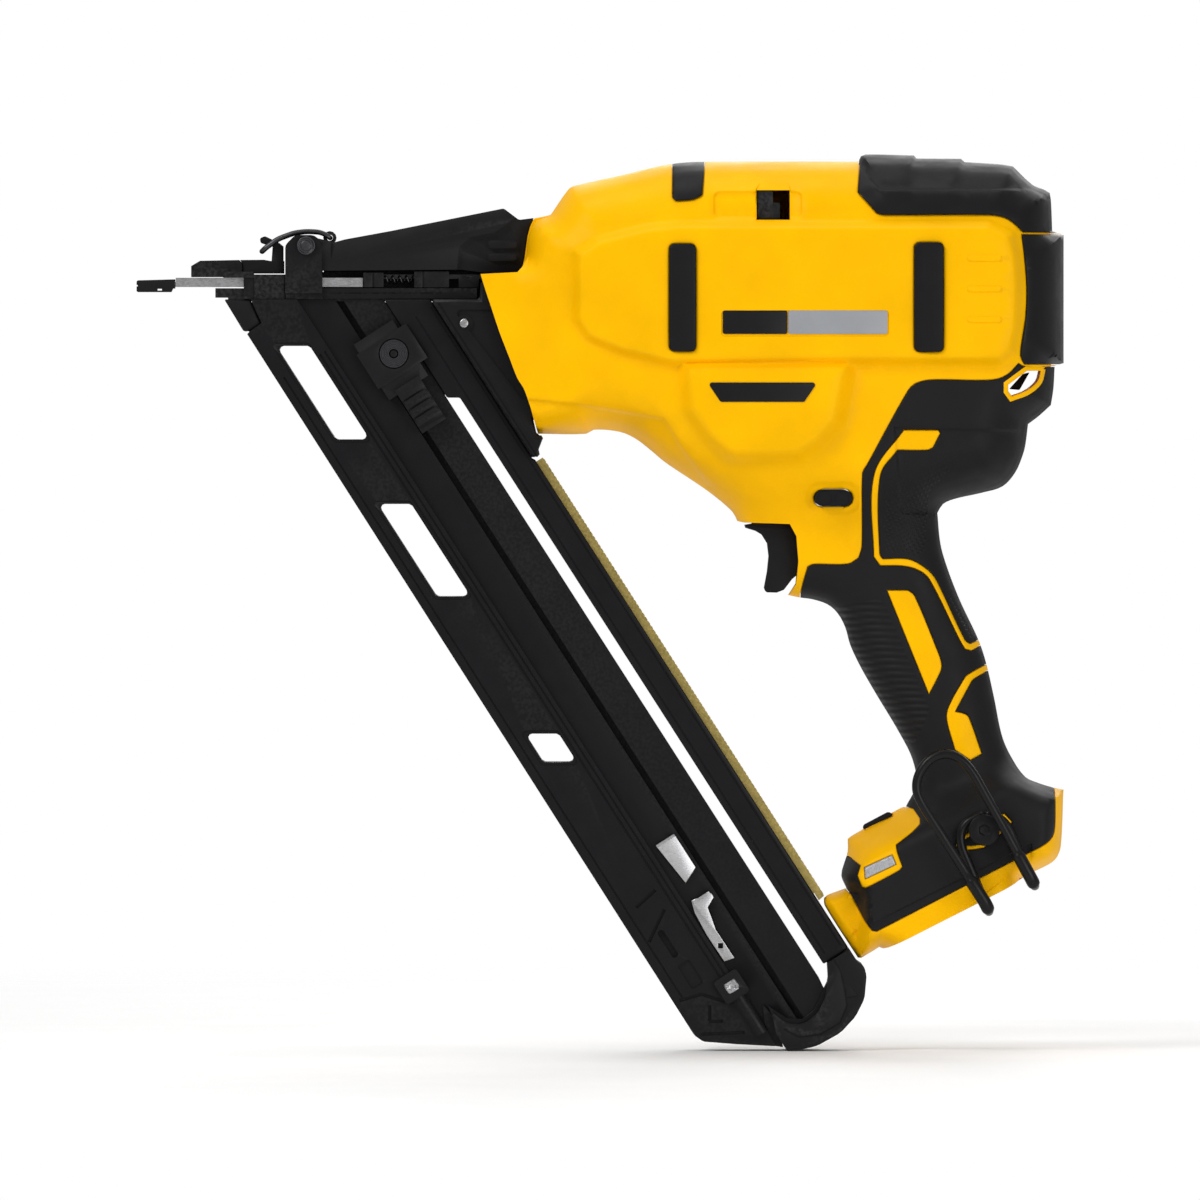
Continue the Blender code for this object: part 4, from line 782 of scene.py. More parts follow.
def within(points, ring):
    hit = np.zeros(len(points), bool)
    for a, b in zip(ring, np.roll(ring, -1, axis=0)):
        if a[1] == b[1]:
            continue
        crosses = (a[1] > points[:, 1]) != (b[1] > points[:, 1])
        x = (b[0] - a[0]) * (points[:, 1] - a[1]) / (b[1] - a[1]) + a[0]
        hit ^= crosses & (points[:, 0] < x)
    return hit


def closed_ring(ring):
    return np.vstack([ring, ring[:1]])


def depth_in(points, ring):
    """Distance of each point to a ring, positive inside it."""
    away = distance(points, closed_ring(ring))
    return np.where(within(points, ring), away, -away)


def eased(u):
    u = np.clip(u, 0, 1)
    return u * u * (3 - 2 * u)


def shifted(ring, d):
    """A closed ring moved inwards by d (outwards where d < 0)."""
    before = ring - np.roll(ring, 1, axis=0)
    after = np.roll(ring, -1, axis=0) - ring
    before /= np.hypot(*before.T)[:, None]
    after /= np.hypot(*after.T)[:, None]
    area = np.sum(ring[:, 0] * np.roll(ring[:, 1], -1) - np.roll(ring[:, 0], -1) * ring[:, 1])
    sign = 1 if area > 0 else -1
    n0 = np.stack([-before[:, 1], before[:, 0]], 1) * sign
    n1 = np.stack([-after[:, 1], after[:, 0]], 1) * sign
    n = n0 + n1
    n /= np.maximum(np.hypot(*n.T), 1e-9)[:, None]
    return ring + n * (d / np.maximum(0.5, np.sum(n * n0, 1)))[:, None]


def run_out(chain, first=True, last=True, by=6.0):
    """The chain with its ends carried straight on."""
    out = chain
    if first:
        leg = chain[0] - chain[1]
        out = np.vstack([chain[0] + leg / np.hypot(*leg) * by, out])
    if last:
        leg = chain[-1] - chain[-2]
        out = np.vstack([out, chain[-1] + leg / np.hypot(*leg) * by])
    return out


def beside(chain, d):
    """Points to the left of an open chain, each at its own distance d."""
    legs = np.diff(chain, axis=0)
    legs /= np.maximum(np.hypot(*legs.T), 1e-9)[:, None]
    n = np.stack([-legs[:, 1], legs[:, 0]], 1)
    mean = np.vstack([n[:1], n[:-1] + n[1:], n[-1:]])
    mean /= np.maximum(np.hypot(*mean.T), 1e-9)[:, None]
    return chain + mean * np.reshape(d, (-1, 1))


LOWER = flowing(LOWER_FRONT, False)
FRONT_GRIP = flowing(GRIP_FRONT, False)
REAR = flowing(BACK, False)
RIM = np.vstack([LOWER, arr(TRIGGER_GAP), FRONT_GRIP,
                 flowing(FOOT_EDGE, False)[1:-1], REAR, flowing(FRONT_EDGE, False)])
CLOSED = [run_out(LOWER), run_out(FRONT_GRIP), run_out(REAR, last=False)]
RINGS = {name: flowing(outline) for name, (outline, _) in SKINS.items()}
RINGS["ring"] = flowing(LANYARD, step=1.5)
RINGS["button"] = arr(BUTTON)
RINGS["window"] = arr(STALL_WINDOW)
RINGS["lock"] = arr(LOCK_SLOT)
RINGS.update({name: flowing(outline, step=1.6) for name, outline in STRIPES.items()})
RIBBED = flowing(GRIP_RIBS)
TREADS = [flowing(outline) for outline in GRIP_TREAD]
FIELD_RINGS = {name: arr(outline) for name, (outline, _, _) in FIELDS.items()}


def along_body(p, nose, nose_end, body, grip, foot, toe):
    """A size that changes from the nose to the body, handle, battery foot and its front."""
    x, z = p[:, 0], p[:, 1]
    size = nose + (body - nose) * eased((x - nose_end) / 40)
    size = size + (grip - size) * eased((-66 - z) / 34) * eased((x - 205) / 15)
    low = z < -150
    down = FOOT_COS * z - FOOT_SIN * x
    size = size + low * (foot - size) * eased((-318 - down) / 16)
    return size + low * (toe - size) * eased((289 - x) / 6) * eased((-234 - z) / 5)


def half_width(p):
    return along_body(p, 24, 138, BODY_HALF, GRIP_HALF, FOOT_HALF, 15)


def edge_radius(p):
    return along_body(p, 9, 150, 22, 16.5, 9, 4)


def edge_distance(p):
    return np.min([distance(p, chain) for chain in CLOSED], axis=0)


def skin_depth(p):
    """Distance of the housing's outer surface from its middle plane."""
    u = np.minimum(1.0, edge_distance(p) / edge_radius(p))
    d = half_width(p) * np.sqrt(1 - (1 - u) ** 2)
    rise = np.maximum(6 * eased(depth_in(p, arr(PANEL)) / PANEL_SLOPE),
                      7 * eased(depth_in(p, arr(BULGE)) / BULGE_SLOPE))
    middle = (p[:, 0] > 165) & (p[:, 0] < 352) & (p[:, 1] > -80) & (p[:, 1] < 30)
    d = d + rise * middle
    for name, (_, height, slope) in FIELDS.items():
        d = d + height * eased(depth_in(p, FIELD_RINGS[name]) / slope) * eased(d / 10)
    return np.maximum(d, 1.2)


# ---------------------------------------------------------------- housing cells
GRID = 2                  # squares in which Points looks for neighbours


class Points:
    """Points over the side view, kept apart by the room each one needs."""

    def __init__(self):
        self.all = []
        self.edges = []
        self.grid = {}

    def near(self, p, room):
        reach = int(room // GRID) + 1
        i, j = int(p[0] // GRID), int(p[1] // GRID)
        for a in range(i - reach, i + reach + 1):
            for b in range(j - reach, j + reach + 1):
                for q in self.grid.get((a, b), ()):
                    if (p[0] - q[0]) ** 2 + (p[1] - q[1]) ** 2 < room * room:
                        return True
        return False

    def put(self, p):
        self.all.append(Vector((float(p[0]), float(p[1]))))
        self.grid.setdefault((int(p[0] // GRID), int(p[1] // GRID)), []).append(p)

    def trace(self, chain, closed=True):
        """A line that the cells must follow."""
        first = len(self.all)
        for p in chain:
            self.put(p)
        last = len(self.all)
        self.edges.extend((i, i + 1) for i in range(first, last - 1))
        if closed:
            self.edges.append((last - 1, first))

    def scatter(self, candidates, room):
        for p in candidates:
            if not self.near(p, room):
                self.put(p)


def housing_cells():
    """Triangles over the side view: their points, corners and centres."""
    pts = Points()
    pts.trace(RIM)
    pts.trace(arr(rect(100, -300, 400, 90)))
    for chain in CLOSED:
        pts.trace(beside(chain, WALL), False)
        covered = [RINGS[name] for name in SKINS]
        for d in (SKIN, SKIN + GAP):
            for under, run in groupby(beside(chain, d), lambda q: any(
                    within(q[None], ring)[0] for ring in covered)):
                run = list(run)
                if under and len(run) > 1:
                    pts.trace(run, False)
    for name in (*SKINS, *STRIPES):
        for d in (-SEAM, SEAM):
            pts.trace(shifted(RINGS[name], d))
    for d in (HOOK_FIELD - SEAM, HOOK_FIELD + SEAM):
        pts.trace(shifted(RINGS["hook_line"], d))
    for d in (0.0, -LANYARD_BAND, -LANYARD_WALL):
        pts.trace(shifted(RINGS["ring"], d))
    for name in ("window", "lock", "button"):
        pts.trace(RINGS[name])
    pts.trace(shifted(RINGS["button"], -BUTTON_WALL))
    for x, z in SCREWS:
        for r in (SHAFT, HEAD, BOSS):
            pts.trace(arr(disc(x, z, r, 20)))
    for r in (HOOK_HOLE, HOOK_BOSS):
        pts.trace(arr(disc(*HOOK_SCREW, r, 24)))
    for ring in (RIBBED, *TREADS):
        pts.trace(ring)
    # more points where the surface bends: beside every edge and on every slope
    for name in (*SKINS, *STRIPES, "window", "lock", "button", "ring"):
        for d in (0.45, 0.85):
            for sign in (-1, 1):
                pts.scatter(shifted(RINGS[name], sign * d), 0.28)
    for outline, width in ((PANEL, PANEL_SLOPE), (BULGE, BULGE_SLOPE)):
        for k in range(6):
            pts.scatter(shifted(flowing(outline, step=2.4, corner=1), width * k / 5), 0.6)
    for name, (_, _, slope) in FIELDS.items():
        ring = flowing(FIELD_RINGS[name], corner=1, step=1.6)
        for k in (0, 0.35, 0.65, 1):
            pts.scatter(shifted(ring, slope * k), 0.3)
    for chain in CLOSED:
        radius = edge_radius(chain)
        last = 0.0
        for angle in range(12, 91, 10):
            share = 1 - math.cos(math.radians(angle))
            ring = beside(chain, radius * share)
            room = 0.5 * float(np.min(radius)) * (share - last)
            away = edge_distance(ring)
            sound = (away > 0.93 * radius * share) & within(ring, RIM)
            pts.scatter(ring[sound], max(0.3, room))
            last = share
    rows = arr([(x + (2 if j % 2 else 0), -266 + 3.5 * j)
                for j in range(92) for x in np.arange(134, 366, 4.0)])
    pts.scatter(rows[within(rows, RIM)], 1.7)
    verts, _, faces, _, _, _ = geometry.delaunay_2d_cdt(pts.all, pts.edges, [], 0, 0.02)
    spots = np.array([tuple(v) for v in verts])
    corners = np.array([tuple(f) for f in faces])
    return spots, corners, spots[corners].mean(axis=1)


SPOTS, CORNERS, MIDS = housing_cells()
DEPTH = skin_depth(SPOTS)
INSIDE = {name: depth_in(MIDS, ring) for name, ring in RINGS.items()}
EDGE = edge_distance(MIDS)
OUT = ~within(MIDS, RIM)
HOOK = np.hypot(*(MIDS - HOOK_SCREW).T)
SCREW = np.min([np.hypot(*(MIDS - s).T) for s in SCREWS], axis=0)
SCREW_HERE = np.min([np.hypot(*(SPOTS - s).T) for s in SCREWS], axis=0)
YELLOW_LINES = np.max([INSIDE[name] for name in STRIPES], axis=0)
YELLOW_LINES = np.where(INSIDE["hook_line"] > HOOK_FIELD, HOOK_FIELD - INSIDE["hook_line"],
                        YELLOW_LINES)
AREA = np.abs(np.cross(SPOTS[CORNERS[:, 1]] - SPOTS[CORNERS[:, 0]],
                       SPOTS[CORNERS[:, 2]] - SPOTS[CORNERS[:, 0]])) / 2


def edge_drop(hand):
    """How far the surface falls away, rounded, at the edge of every moulded piece."""
    lines = [ring for name, ring in RINGS.items() if hand < 0 or name not in LEFT_ONLY]
    lines.append(shifted(RINGS["hook_line"], HOOK_FIELD))
    near = np.min([distance(SPOTS, closed_ring(ring)) for ring in lines], axis=0)
    if hand > 0:
        near = np.minimum(near, np.abs(SCREW_HERE - HEAD))
    left = np.maximum(SOFT_EDGE - near, 0)
    return SOFT_EDGE - np.sqrt(SOFT_EDGE ** 2 - left ** 2)


def levels(hand):
    drop = edge_drop(hand) * np.clip(DEPTH / 6, 0, 1)
    x, z = SPOTS.T
    trigger_here = (x > 236) & (x < 266) & (z > -124) & (z < -86)
    here = {
        "outer": np.maximum(DEPTH - drop, 0.5),
        "under": np.maximum(DEPTH - SKIN - GAP - 0.2, 0.35),
        "skin_back": np.maximum(DEPTH - SKIN - 0.2, 0.45),
        "cavity": np.maximum(0.6, np.where(trigger_here, np.minimum(DEPTH - WALL, TRIGGER_SPACE),
                                               DEPTH - WALL)),
        "counterbore": np.maximum(DEPTH - HEAD_DEEP, HEAD_LEAST),
        "blind": np.maximum(DEPTH - SHAFT_DEEP, 1.0),
        "well": DEPTH - BUTTON_DEEP,
        "rim": np.full(len(SPOTS), SEAM),
        "middle": np.zeros(len(SPOTS)),
    }
    for name, (_, proud) in SKINS.items():
        here[name] = np.maximum(DEPTH + proud * np.clip(DEPTH / 4, 0, 1) - drop, 0.65)
    return {key: values.round(4).tolist() for key, values in here.items()}


LEVELS = {hand: levels(hand) for hand in (-1, 1)}


def shell_cells(hand):
    """Top and bottom level of each cell of a housing half, or None where it is open."""
    out = []
    for n in range(len(CORNERS)):
        skin = [s for s in SKINS if INSIDE[s][n] > -SEAM and not (s == "led_lens" and hand > 0)]
        if INSIDE["ring"][n] > -LANYARD_BAND or YELLOW_LINES[n] > SEAM:
            skin = [s for s in skin if s != "overmould"]
        screw = SCREW[n]
        open_here = (OUT[n] or INSIDE["ring"][n] > 0 or INSIDE["lock"][n] > 0
                     or HOOK[n] < HOOK_HOLE - INNER or (INSIDE["window"][n] > 0 and hand < 0)
                     or (screw < SHAFT - INNER and hand > 0))
        if open_here or (skin and EDGE[n] < SKIN + GAP):
            out.append(None)
            continue
        top, low = ("under" if skin else "outer"), "cavity"
        if (EDGE[n] < WALL or INSIDE["ring"][n] > -LANYARD_WALL
                or INSIDE["button"][n] > -BUTTON_WALL or HOOK[n] < HOOK_BOSS - 3 * INNER
                or screw < BOSS - INNER):
            low = "rim"
        if screw < HEAD - INNER and hand > 0:
            top = "counterbore"
        if screw < SHAFT - INNER:
            low = "blind"
        if INSIDE["button"][n] > 0 and hand < 0:
            top = "well"
        out.append((top, low))
    return out


def skin_cells(name, hand, low_rim="rim"):
    """The same for a skin laid over the housing."""
    out = []
    for n in range(len(CORNERS)):
        hidden = (OUT[n] or INSIDE[name][n] < SEAM or HOOK[n] < HOOK_HOLE - INNER
                  or (hand > 0 and SCREW[n] < HEAD)
                  or (name != "led_lens" and hand < 0 and INSIDE["led_lens"][n] > -SEAM))
        if name == "overmould":
            hidden = (hidden or INSIDE["ring"][n] > -LANYARD_BAND - GAP
                      or INSIDE["button"][n] > -GAP or YELLOW_LINES[n] > -SEAM)
        out.append(None if hidden else (name, low_rim if EDGE[n] < SKIN else "skin_back"))
    return out


def fans():
    """The cells round each point, in turn."""
    around = {}
    spokes = MIDS[:, None] - SPOTS[CORNERS]
    angles = np.arctan2(spokes[..., 1], spokes[..., 0])
    for n, face in enumerate(CORNERS.tolist()):
        for k in range(3):
            around.setdefault(face[k], []).append((angles[n, k], n))
    return {i: [n for _, n in sorted(turn)] for i, turn in around.items()}


FANS = fans()


def mended(chosen, level):
    """Cells that would touch only along one upright edge are joined or parted."""
    for _ in range(8):
        changed = False
        for i, fan in FANS.items():
            marks = sorted({level[k][i] for n in fan if chosen[n] for k in chosen[n]})
            for y0, y1 in zip(marks, marks[1:]):
                mid = (y0 + y1) / 2
                full = [bool(chosen[n]) and level[chosen[n][1]][i] < mid < level[chosen[n][0]][i]
                        for n in fan]
                turns = [k for k in range(len(fan)) if full[k] != full[k - 1]]
                if len(turns) < 4:
                    continue
                runs = []
                for a, b in zip(turns, turns[1:] + [turns[0] + len(fan)]):
                    run = [k % len(fan) for k in range(a, b)]
                    area = sum(AREA[fan[k]] for k in run)
                    runs.append((area + (0 if full[run[0]] else 1), run))
                free = [r for r in runs if not any(OUT[fan[k]] for k in r[1])]
                run = min(free)[1]
                for k in run:
                    chosen[fan[k]] = chosen[fan[run[0] - 1]]
                changed = True
                break
        if not changed:
            break
    return chosen


SHELL_SMOOTH = 42         # sharper edges of the housing's pieces stay crisp


def columns(name, chosen, hand, paint=None):
    """A closed mesh of the chosen cells, each from its bottom to its top level."""
    level = LEVELS[hand]
    chosen = mended(chosen, level)
    spot, verts, faces, marks = {}, [], [], []
    used, shared = {}, {}
    cells = CORNERS.tolist()

    def vertex(i, key):
        tag = (i, level[key][i])
        if tag not in spot:
            spot[tag] = len(verts)
            verts.append((SPOTS[i][0] * MM, hand * tag[1] * MM, SPOTS[i][1] * MM))
        return spot[tag]

    def drop(i, start, end):
        """Corners down one upright edge, with every level that meets it on the way."""
        y0, y1 = level[start][i], level[end][i]
        keys = [k for k in used[i] if min(y0, y1) < level[k][i] < max(y0, y1)]
        keys.sort(key=lambda k: level[k][i], reverse=y0 > y1)
        return [vertex(i, k) for k in (start, *keys, end)]

    def wall(a, b, high, low, mark):
        ring = drop(b, high, low) + drop(a, low, high)
        ring = [v for n, v in enumerate(ring) if v != ring[n - 1]]
        if len(ring) > 2:
            faces.append(ring)
            marks.append(mark)

    for n, face in enumerate(cells):
        for i in face:
            used.setdefault(i, set()).update(chosen[n] or ())
    for n, face in enumerate(cells):
        if chosen[n]:
            mark = int(paint[n]) if paint is not None else 0
            for k in range(3):
                pair = (face[k - 1], face[k])
                shared.setdefault(frozenset(pair), []).append((n, pair, mark))
            faces.append([vertex(i, chosen[n][0]) for i in face])
            faces.append([vertex(i, chosen[n][1]) for i in reversed(face)])
            marks.extend((mark, 0))
    for owners in shared.values():
        n, (a, b), mark = owners[0]
        if len(owners) == 1:
            wall(a, b, *chosen[n], mark)
            continue
        m = owners[1][0]
        for row in (0, 1):
            if chosen[n][row] != chosen[m][row]:
                wall(a, b, chosen[n][row], chosen[m][row], mark)
    mesh = mesh_of(name, verts, faces)
    mesh.polygons.foreach_set("material_index", marks)
    return smooth_faces(thing(name, write_back(work_on(mesh), mesh)), SHELL_SMOOTH)


def both_sides(name, skin):
    """A skin that runs over the top in one piece: its left half, mirrored and welded."""
    half = columns(name, skin_cells(skin, -1, "middle"), -1)
    work = work_on(half.data)
    flat = [f for f in work.faces if all(abs(v.co.y) < 1e-7 for v in f.verts)]
    bmesh.ops.delete(work, geom=flat, context="FACES")
    copy = bmesh.ops.duplicate(work, geom=work.verts[:] + work.edges[:] + work.faces[:])["geom"]
    for v in copy:
        if isinstance(v, bmesh.types.BMVert):
            v.co.y = -v.co.y
    bmesh.ops.remove_doubles(work, verts=work.verts, dist=1e-7)
    write_back(work, half.data)
    return smooth_faces(half, SHELL_SMOOTH)


SIDES = {"left": -1, "right": 1}
grip_paint = np.zeros(len(CORNERS), int)
grip_paint[within(MIDS, RIBBED)] = 1
for ring in TREADS:
    grip_paint[within(MIDS, ring)] = 2
for word, hand in SIDES.items():
    shell = columns("housing_%s_fine" % word, shell_cells(hand), hand)
    stand_for(shell, "housing_" + word)
    rubber = columns("overmould_%s_fine" % word, skin_cells("overmould", hand), hand, grip_paint)
    for look in (FINISH["overmould_black"], RIBS, TREAD):
        rubber.data.materials.append(look)
    stand_for(rubber, "overmould_" + word)
    for place in ("front", "rear"):
        pad = "side_pad_%s_%s" % (place, word)
        stand_for(columns(pad + "_fine", skin_cells("side_pad_" + place, hand), hand), pad)
stand_for(columns("led_lens_fine", skin_cells("led_lens", -1), -1), "led_lens_left")
for skin in ("rear_bumper", "rear_vent", "top_pad"):
    stand_for(both_sides(skin + "_fine", skin), skin)


# ---------------------------------------------------------------- nose
def pair(name, outline, near, far):
    """The same outline on both sides, between two distances from the middle."""
    return [side(name, outline, *sorted((hand * near, hand * far))) for hand in (-1, 1)]


def stroke(points, width):
    """Outline of a groove of that width along points (x, z)."""
    path = [Vector(p) for p in points]
    left, right = [], []
    for i, p in enumerate(path):
        along = (path[min(i + 1, len(path) - 1)] - path[max(i - 1, 0)]).normalized()
        across = Vector((-along.y, along.x)) * (width / 2)
        left.append(tuple(p + across))
        right.append(tuple(p - across))
    return left + right[::-1]


def hull(name, points):
    work = bmesh.new()
    verts = [work.verts.new(Vector(p) * MM) for p in points]
    bmesh.ops.convex_hull(work, input=verts)
    return thing_from(name, work)


nose = copy_of("nose_frame")
pocket = rounded([(*magazine_at(73, -9), 1.5), (154, -9, 1.5), (154, -47, 1.5)])
nose = cut(nose, *pair("pocket", pocket, 16.0, 18))
nose = join(nose, *[rod("boss", (129, hand * 15, -14.3), (129, hand * 16.9, -14.3), 3.4)
                    for hand in (-1, 1)])
edge = [magazine_at(69.6, -6.5), magazine_at(69.6, -66)]
nose = cut(nose, *pair("edge_line", stroke(edge, 0.6), 16.5, 18))
stand_for(dressed(nose, 0.45), "nose_frame")
softened("frame_rivet", 0.45, 3)
softened("nosepiece", 0.22, 1, cuts=[*pair("recess", rect(41, -5, 46.4, 3.6), 8.4, 10),
                                     *pair("joint_line", rect(58.2, -5, 58.9, 5.5), 8.3, 10),
                                     *pair("rail_line", rect(76, -2.8, 120, -2.2), 7.4, 9)])
softened("nose_door", 0.3, 2)
softened("contact_trip", 0.25, 1)
softened("nose_pad", 0.45, 3, cuts=[box("pad_line", (-1, -7, 0.2), (0.45, 7, 0.8))])
softened("trip_carrier", 0.4, 2, cuts=pair("carrier_line", rect(92.8, -1, 93.6, 6), 7.4, 9))
softened("trip_guide", 0.4, 2, cuts=pair("guide_line", rect(112.5, -1, 113.3, 7), 7.4, 9))
softened("magazine_stop", 0.6, 2)

lever = copy_of("latch_lever")
wedges = []
for hand in (-1, 1):
    ends = []
    for x in (76.5, 165.0):
        z = 10.0 + 0.2166 * (x - 77.2)
        ends += [(x, hand * 9.055, z - 0.2), (x, hand * 12, z - 0.2), (x, hand * 12, z + 12),
                 (x, hand * 5.69, z + 12)]
    wedges.append(hull("lever_slope", ends))
lever = cut(lever, *wedges)
thumb = rounded([(125.8, 3), (126.9, 15.7, 3), (131.2, 19.5, 3), (140.9, 21.3), (147, 25.6),
                 (150, 34), (166, 34), (166, 3)])
lever = cut(lever, *pair("thumb_rest", thumb, 6.6, 12))
lever = join(lever, *pair("thumb_rib_high", rect(138.6, 15.1, 149.7, 18.3, 1.2), 6, 8.6),
             *pair("thumb_rib_low", rect(138.6, 10.1, 149.5, 13.2, 1.2), 6, 8.6))
stand_for(dressed(lever, 0.45), "latch_lever")
rings = [lathe("pin_ring", [(2.0, y0), (2.9, y0), (2.9, y1), (2.0, y1)], LATCH)
         for y0, y1 in ((-14, -12.4), (12.4, 14))]
pin = cut(copy_of("latch_pin"), *rings)
stand_for(dressed(pin, 0.35, 3), "latch_pin", finish=FINISH["dark_steel"])
half_bail = [(BAIL[0], -2.4, BAIL[1]), (BAIL[0], -6.0, BAIL[1]), (74.4, -6.2, 20.6),
             (72, -6.2, 21.6), (67, -6.2, 21.9), (62, -6.2, 21.3), (55.5, -6.2, 18.9),
             (50.6, -6.2, 15.3), (49.3, -5.2, 14)]
whole_bail = half_bail + [(x, -y, z) for x, y, z in reversed(half_bail)]
stand_for(tube("latch_bail_fine", bent(whole_bail, 1.0, 2.0), 1.0, 16), "latch_bail",
          finish=FINISH["dark_steel"])


def wound(node, start, end, r, wire, turns, finish=None):
    """A coil spring that stands for a CAD node, on a mesh of its own."""
    obj = tube(node + "_fine", helix(start, end, r, turns, 14), wire, 8)
    stand_for(obj, node, finish=finish)
    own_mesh(obj)


wound("trip_spring", (97.6, -5, 2.9), (119.5, -5, 2.9), 1.5, 0.3, 8,
      FINISH["dark_steel"])
wound("trigger_spring", (264.6, 0, -104), (267.6, 0, -104), 2.6, 0.3, 3)
for word, hand in SIDES.items():
    wound("return_spring_" + word, (164.5, hand * 10, -1), (303.5, hand * 10, -1), 3.1, 0.45, 18)

# thin pieces behind the gaps of the nose, the magazine and the lanyard hole: name, outline, reach
# along Y, radius of the edges. All but housing_lip are black sheets of painted shade where the
# gaps would otherwise show through; housing_lip is yellow housing filling the gap at the lever.
SEAT = rect(36, -5.6, 133, -3.9)
GAP_SHEETS = (
    ("rail_web", slice_of(51, 53.5, -6, -42.5), -3.5, 3.5, 0.2),
    ("frame_web", slice_of(66.4, 68.8, -6, -67), -5, 5, 0.2),
    ("cap_web", [(246.5, -282.5), (252.5, -289.2), (254.5, -299.3), (248.6, -298.3),
                 (247, -290)], -8, 8, 0.2),
    ("arc_web", [(248.5, -283), (256, -287.8), (262, -288.2), (266.5, -284.5), (269.3, -279),
                 (272, -273.5), (274, -273), (272.5, -280.5), (269, -287), (263, -291.8),
                 (256, -291.4), (250.5, -288)], -8, 8, 0.2),
    ("stop_web", [(43.5, -6), (47, -6), (51, -14), (46, -18.5), (43.2, -17), (47.2, -14)],
     -6, 6, 0.2),
    ("rail_end_web", slab(58, 329.5, 66, 333), -6, 6, 0.2),
    ("seat_web", SEAT, -6.2, -4.6, 0),
    ("seat_web", SEAT, 4.6, 6.2, 0),
    ("lever_guard", [(132.5, -5.5), (138.8, -5.5), (141, 3), (158, 3.5), (158.5, 27),
                     (155.8, 26.6), (153, 24), (149, 9), (132.5, 9)], 9.4, 10.4, 0.2),
    ("lanyard_web", [(343.6, -40.2), (349.0, -34.2), (351.6, -33.6), (347.6, -40.6)],
     -3, 3, 0.3),
    ("housing_lip", [(150.3, 4.2), (152, 8), (152.8, 12), (153.9, 20), (155, 24), (156.5, 27),
                     (162, 28), (160, 4.2)], -7.5, 7.5, 0.3),
)
# the black sheets are painted shade in the gaps; housing_lip takes the housing yellow
for name, outline, y0, y1, edge in GAP_SHEETS:
    sheet = side(name, outline, y0, y1)
    add(rounded_edges(sheet, edge, 1) if edge else sheet,
        "housing_yellow" if name == "housing_lip" else "nose_black")

# ---------------------------------------------------------------- magazine
WINDOWS = ((-23.2, -60.0), (-85.4, -121.8), (-175.8, -187.0))
body = copy_of("magazine_body")
marks = []
for top, low in WINDOWS:
    rim = slice_of(5.3, 18.3, top + 1.3, low - 1.3)
    marks += pair("window_rim", rounded([(*p, 1.6) for p in rim], 30), 9.4, 11)
for t, width in ((19.4, 0.9), (21.6, 0.7), (2.6, 0.7)):
    marks += pair("long_line", stroke([magazine(t, 22), magazine(t, 313)], width), 9.2, 11)
FACETS = [[(196.6, -244.2), (204.2, -237.3)], [(201.7, -257.8), (207.7, -245.0)],
          [(213.6, -280.9), (222.2, -278.3), (231.6, -281.3)], [(225.6, -282.6), (225.6, -289.0)],
          [(225.6, -289.0), (230.7, -289.0)], [(222.2, -294.1), (239.3, -293.3)]]
for line in FACETS:
    marks += pair("facet_line", stroke(line, 1.3), 8.8, 11)
for t0, v0, t1, v1, deep in ((8.0, 285.0, 10.6, 297.3, 7.5), (7.6, 300.5, 13.0, 311.5, 9.0)):
    marks += pair("low_slot", slab(t0, v0, t1, v1, 1.1), deep, 11)
stand_for(dressed(cut(body, *marks), 0.28, 1), "magazine_body")

rail_lines = []
for t in (59.2, 66.2):
    rail_lines += pair("rail_line", stroke([magazine(t, 30), magazine(t, 328)], 0.6), 8.5, 10)
softened("magazine_rail", 0.3, 1, cuts=rail_lines)

PITCH, NAILS = 2.0, 102   # the strip's nails, and the distance between them
teeth = []
for k in range(NAILS):
    v = 104 + k * PITCH
    teeth += [magazine(71.15, v), magazine(71.4, v + 0.4), magazine(71.4, v + 1.6)]
ends = [magazine(68.5, 309), magazine(68.5, 305.6), magazine(67.7, 305.6), magazine(67.7, 103.5),
        magazine(71.2, 103.5)]
stand_for(side("nail_strip_fine", [*ends, *teeth, magazine(71.15, 308.6)], -5, 5), "nail_strip")

cap_line = [(254.7, -292.0), (260.6, -295.2), (269.2, -294.1), (276.9, -289.4), (279.6, -282.6),
            (278.4, -274.9), (276.9, -268.9), (270.2, -257.8)]
cap_mark = [(279.3, -279.6), (283.9, -279.0), (281.2, -275.4)]
softened("end_cap", 0.9, 3, cuts=[*pair("cap_line", stroke(cap_line, 0.8), 12.0, 14),
                                  *pair("cap_mark", stroke(cap_mark, 0.45), 12.2, 14)])

tab_ribs = [side("tab_rib", slab(37.2, 55.8 + 4 * k, 46.8, 57.2 + 4 * k, 0.4), -14.2, -13.1)
            for k in range(3)]
softened("pusher", 0.35, 2, adds=tab_ribs)
layers = [(1.8, -7.9)]    # radius and y of the coiled feed spring's turns
for k in range(6):
    r = 1.9 + 0.62 * k
    layers += [(r, -11.6), (r + 0.42, -11.6), (r + 0.5, -11.2), (r + 0.6, -11.2)]
layers.append((5.6, -7.9))
# the roll takes blackened steel instead of its spring steel: painted shade, as it sits in shadow
# inside the pusher
stand_for(smooth_faces(lathe("spring_roll_fine", layers, magazine(44, 37.5)), 30), "spring_roll",
          finish=FINISH["dark_steel"])

softened("nail_retainer", 0.2, 2,
         adds=[side("retainer_lip", slab(26.2, 256.1, 34.6, 257.1), -9.9, -7.4)])
softened("retainer_clip", 0.25, 2,
         adds=[side("clip_lip", slab(26.6, 282.4, 34.0, 283.6), -10.4, -8.6)])
x, z = magazine(21.4, 318.8)
softened("clip_screw", 0.35, 2,
         cuts=[box("screw_slot", (x - 4, -13, z - 0.5), (x + 4, -11.3, z + 0.5))])
clip_frame = side("clip_frame", slab(16.0, 313.6, 26.6, 324.0, 1.2), -12.7, -9.6,
                  holes=[slab(18.8, 316.6, 24.0, 321.0, 0.6)])
add(dressed(clip_frame, 0.3, 1), "moulding_black")

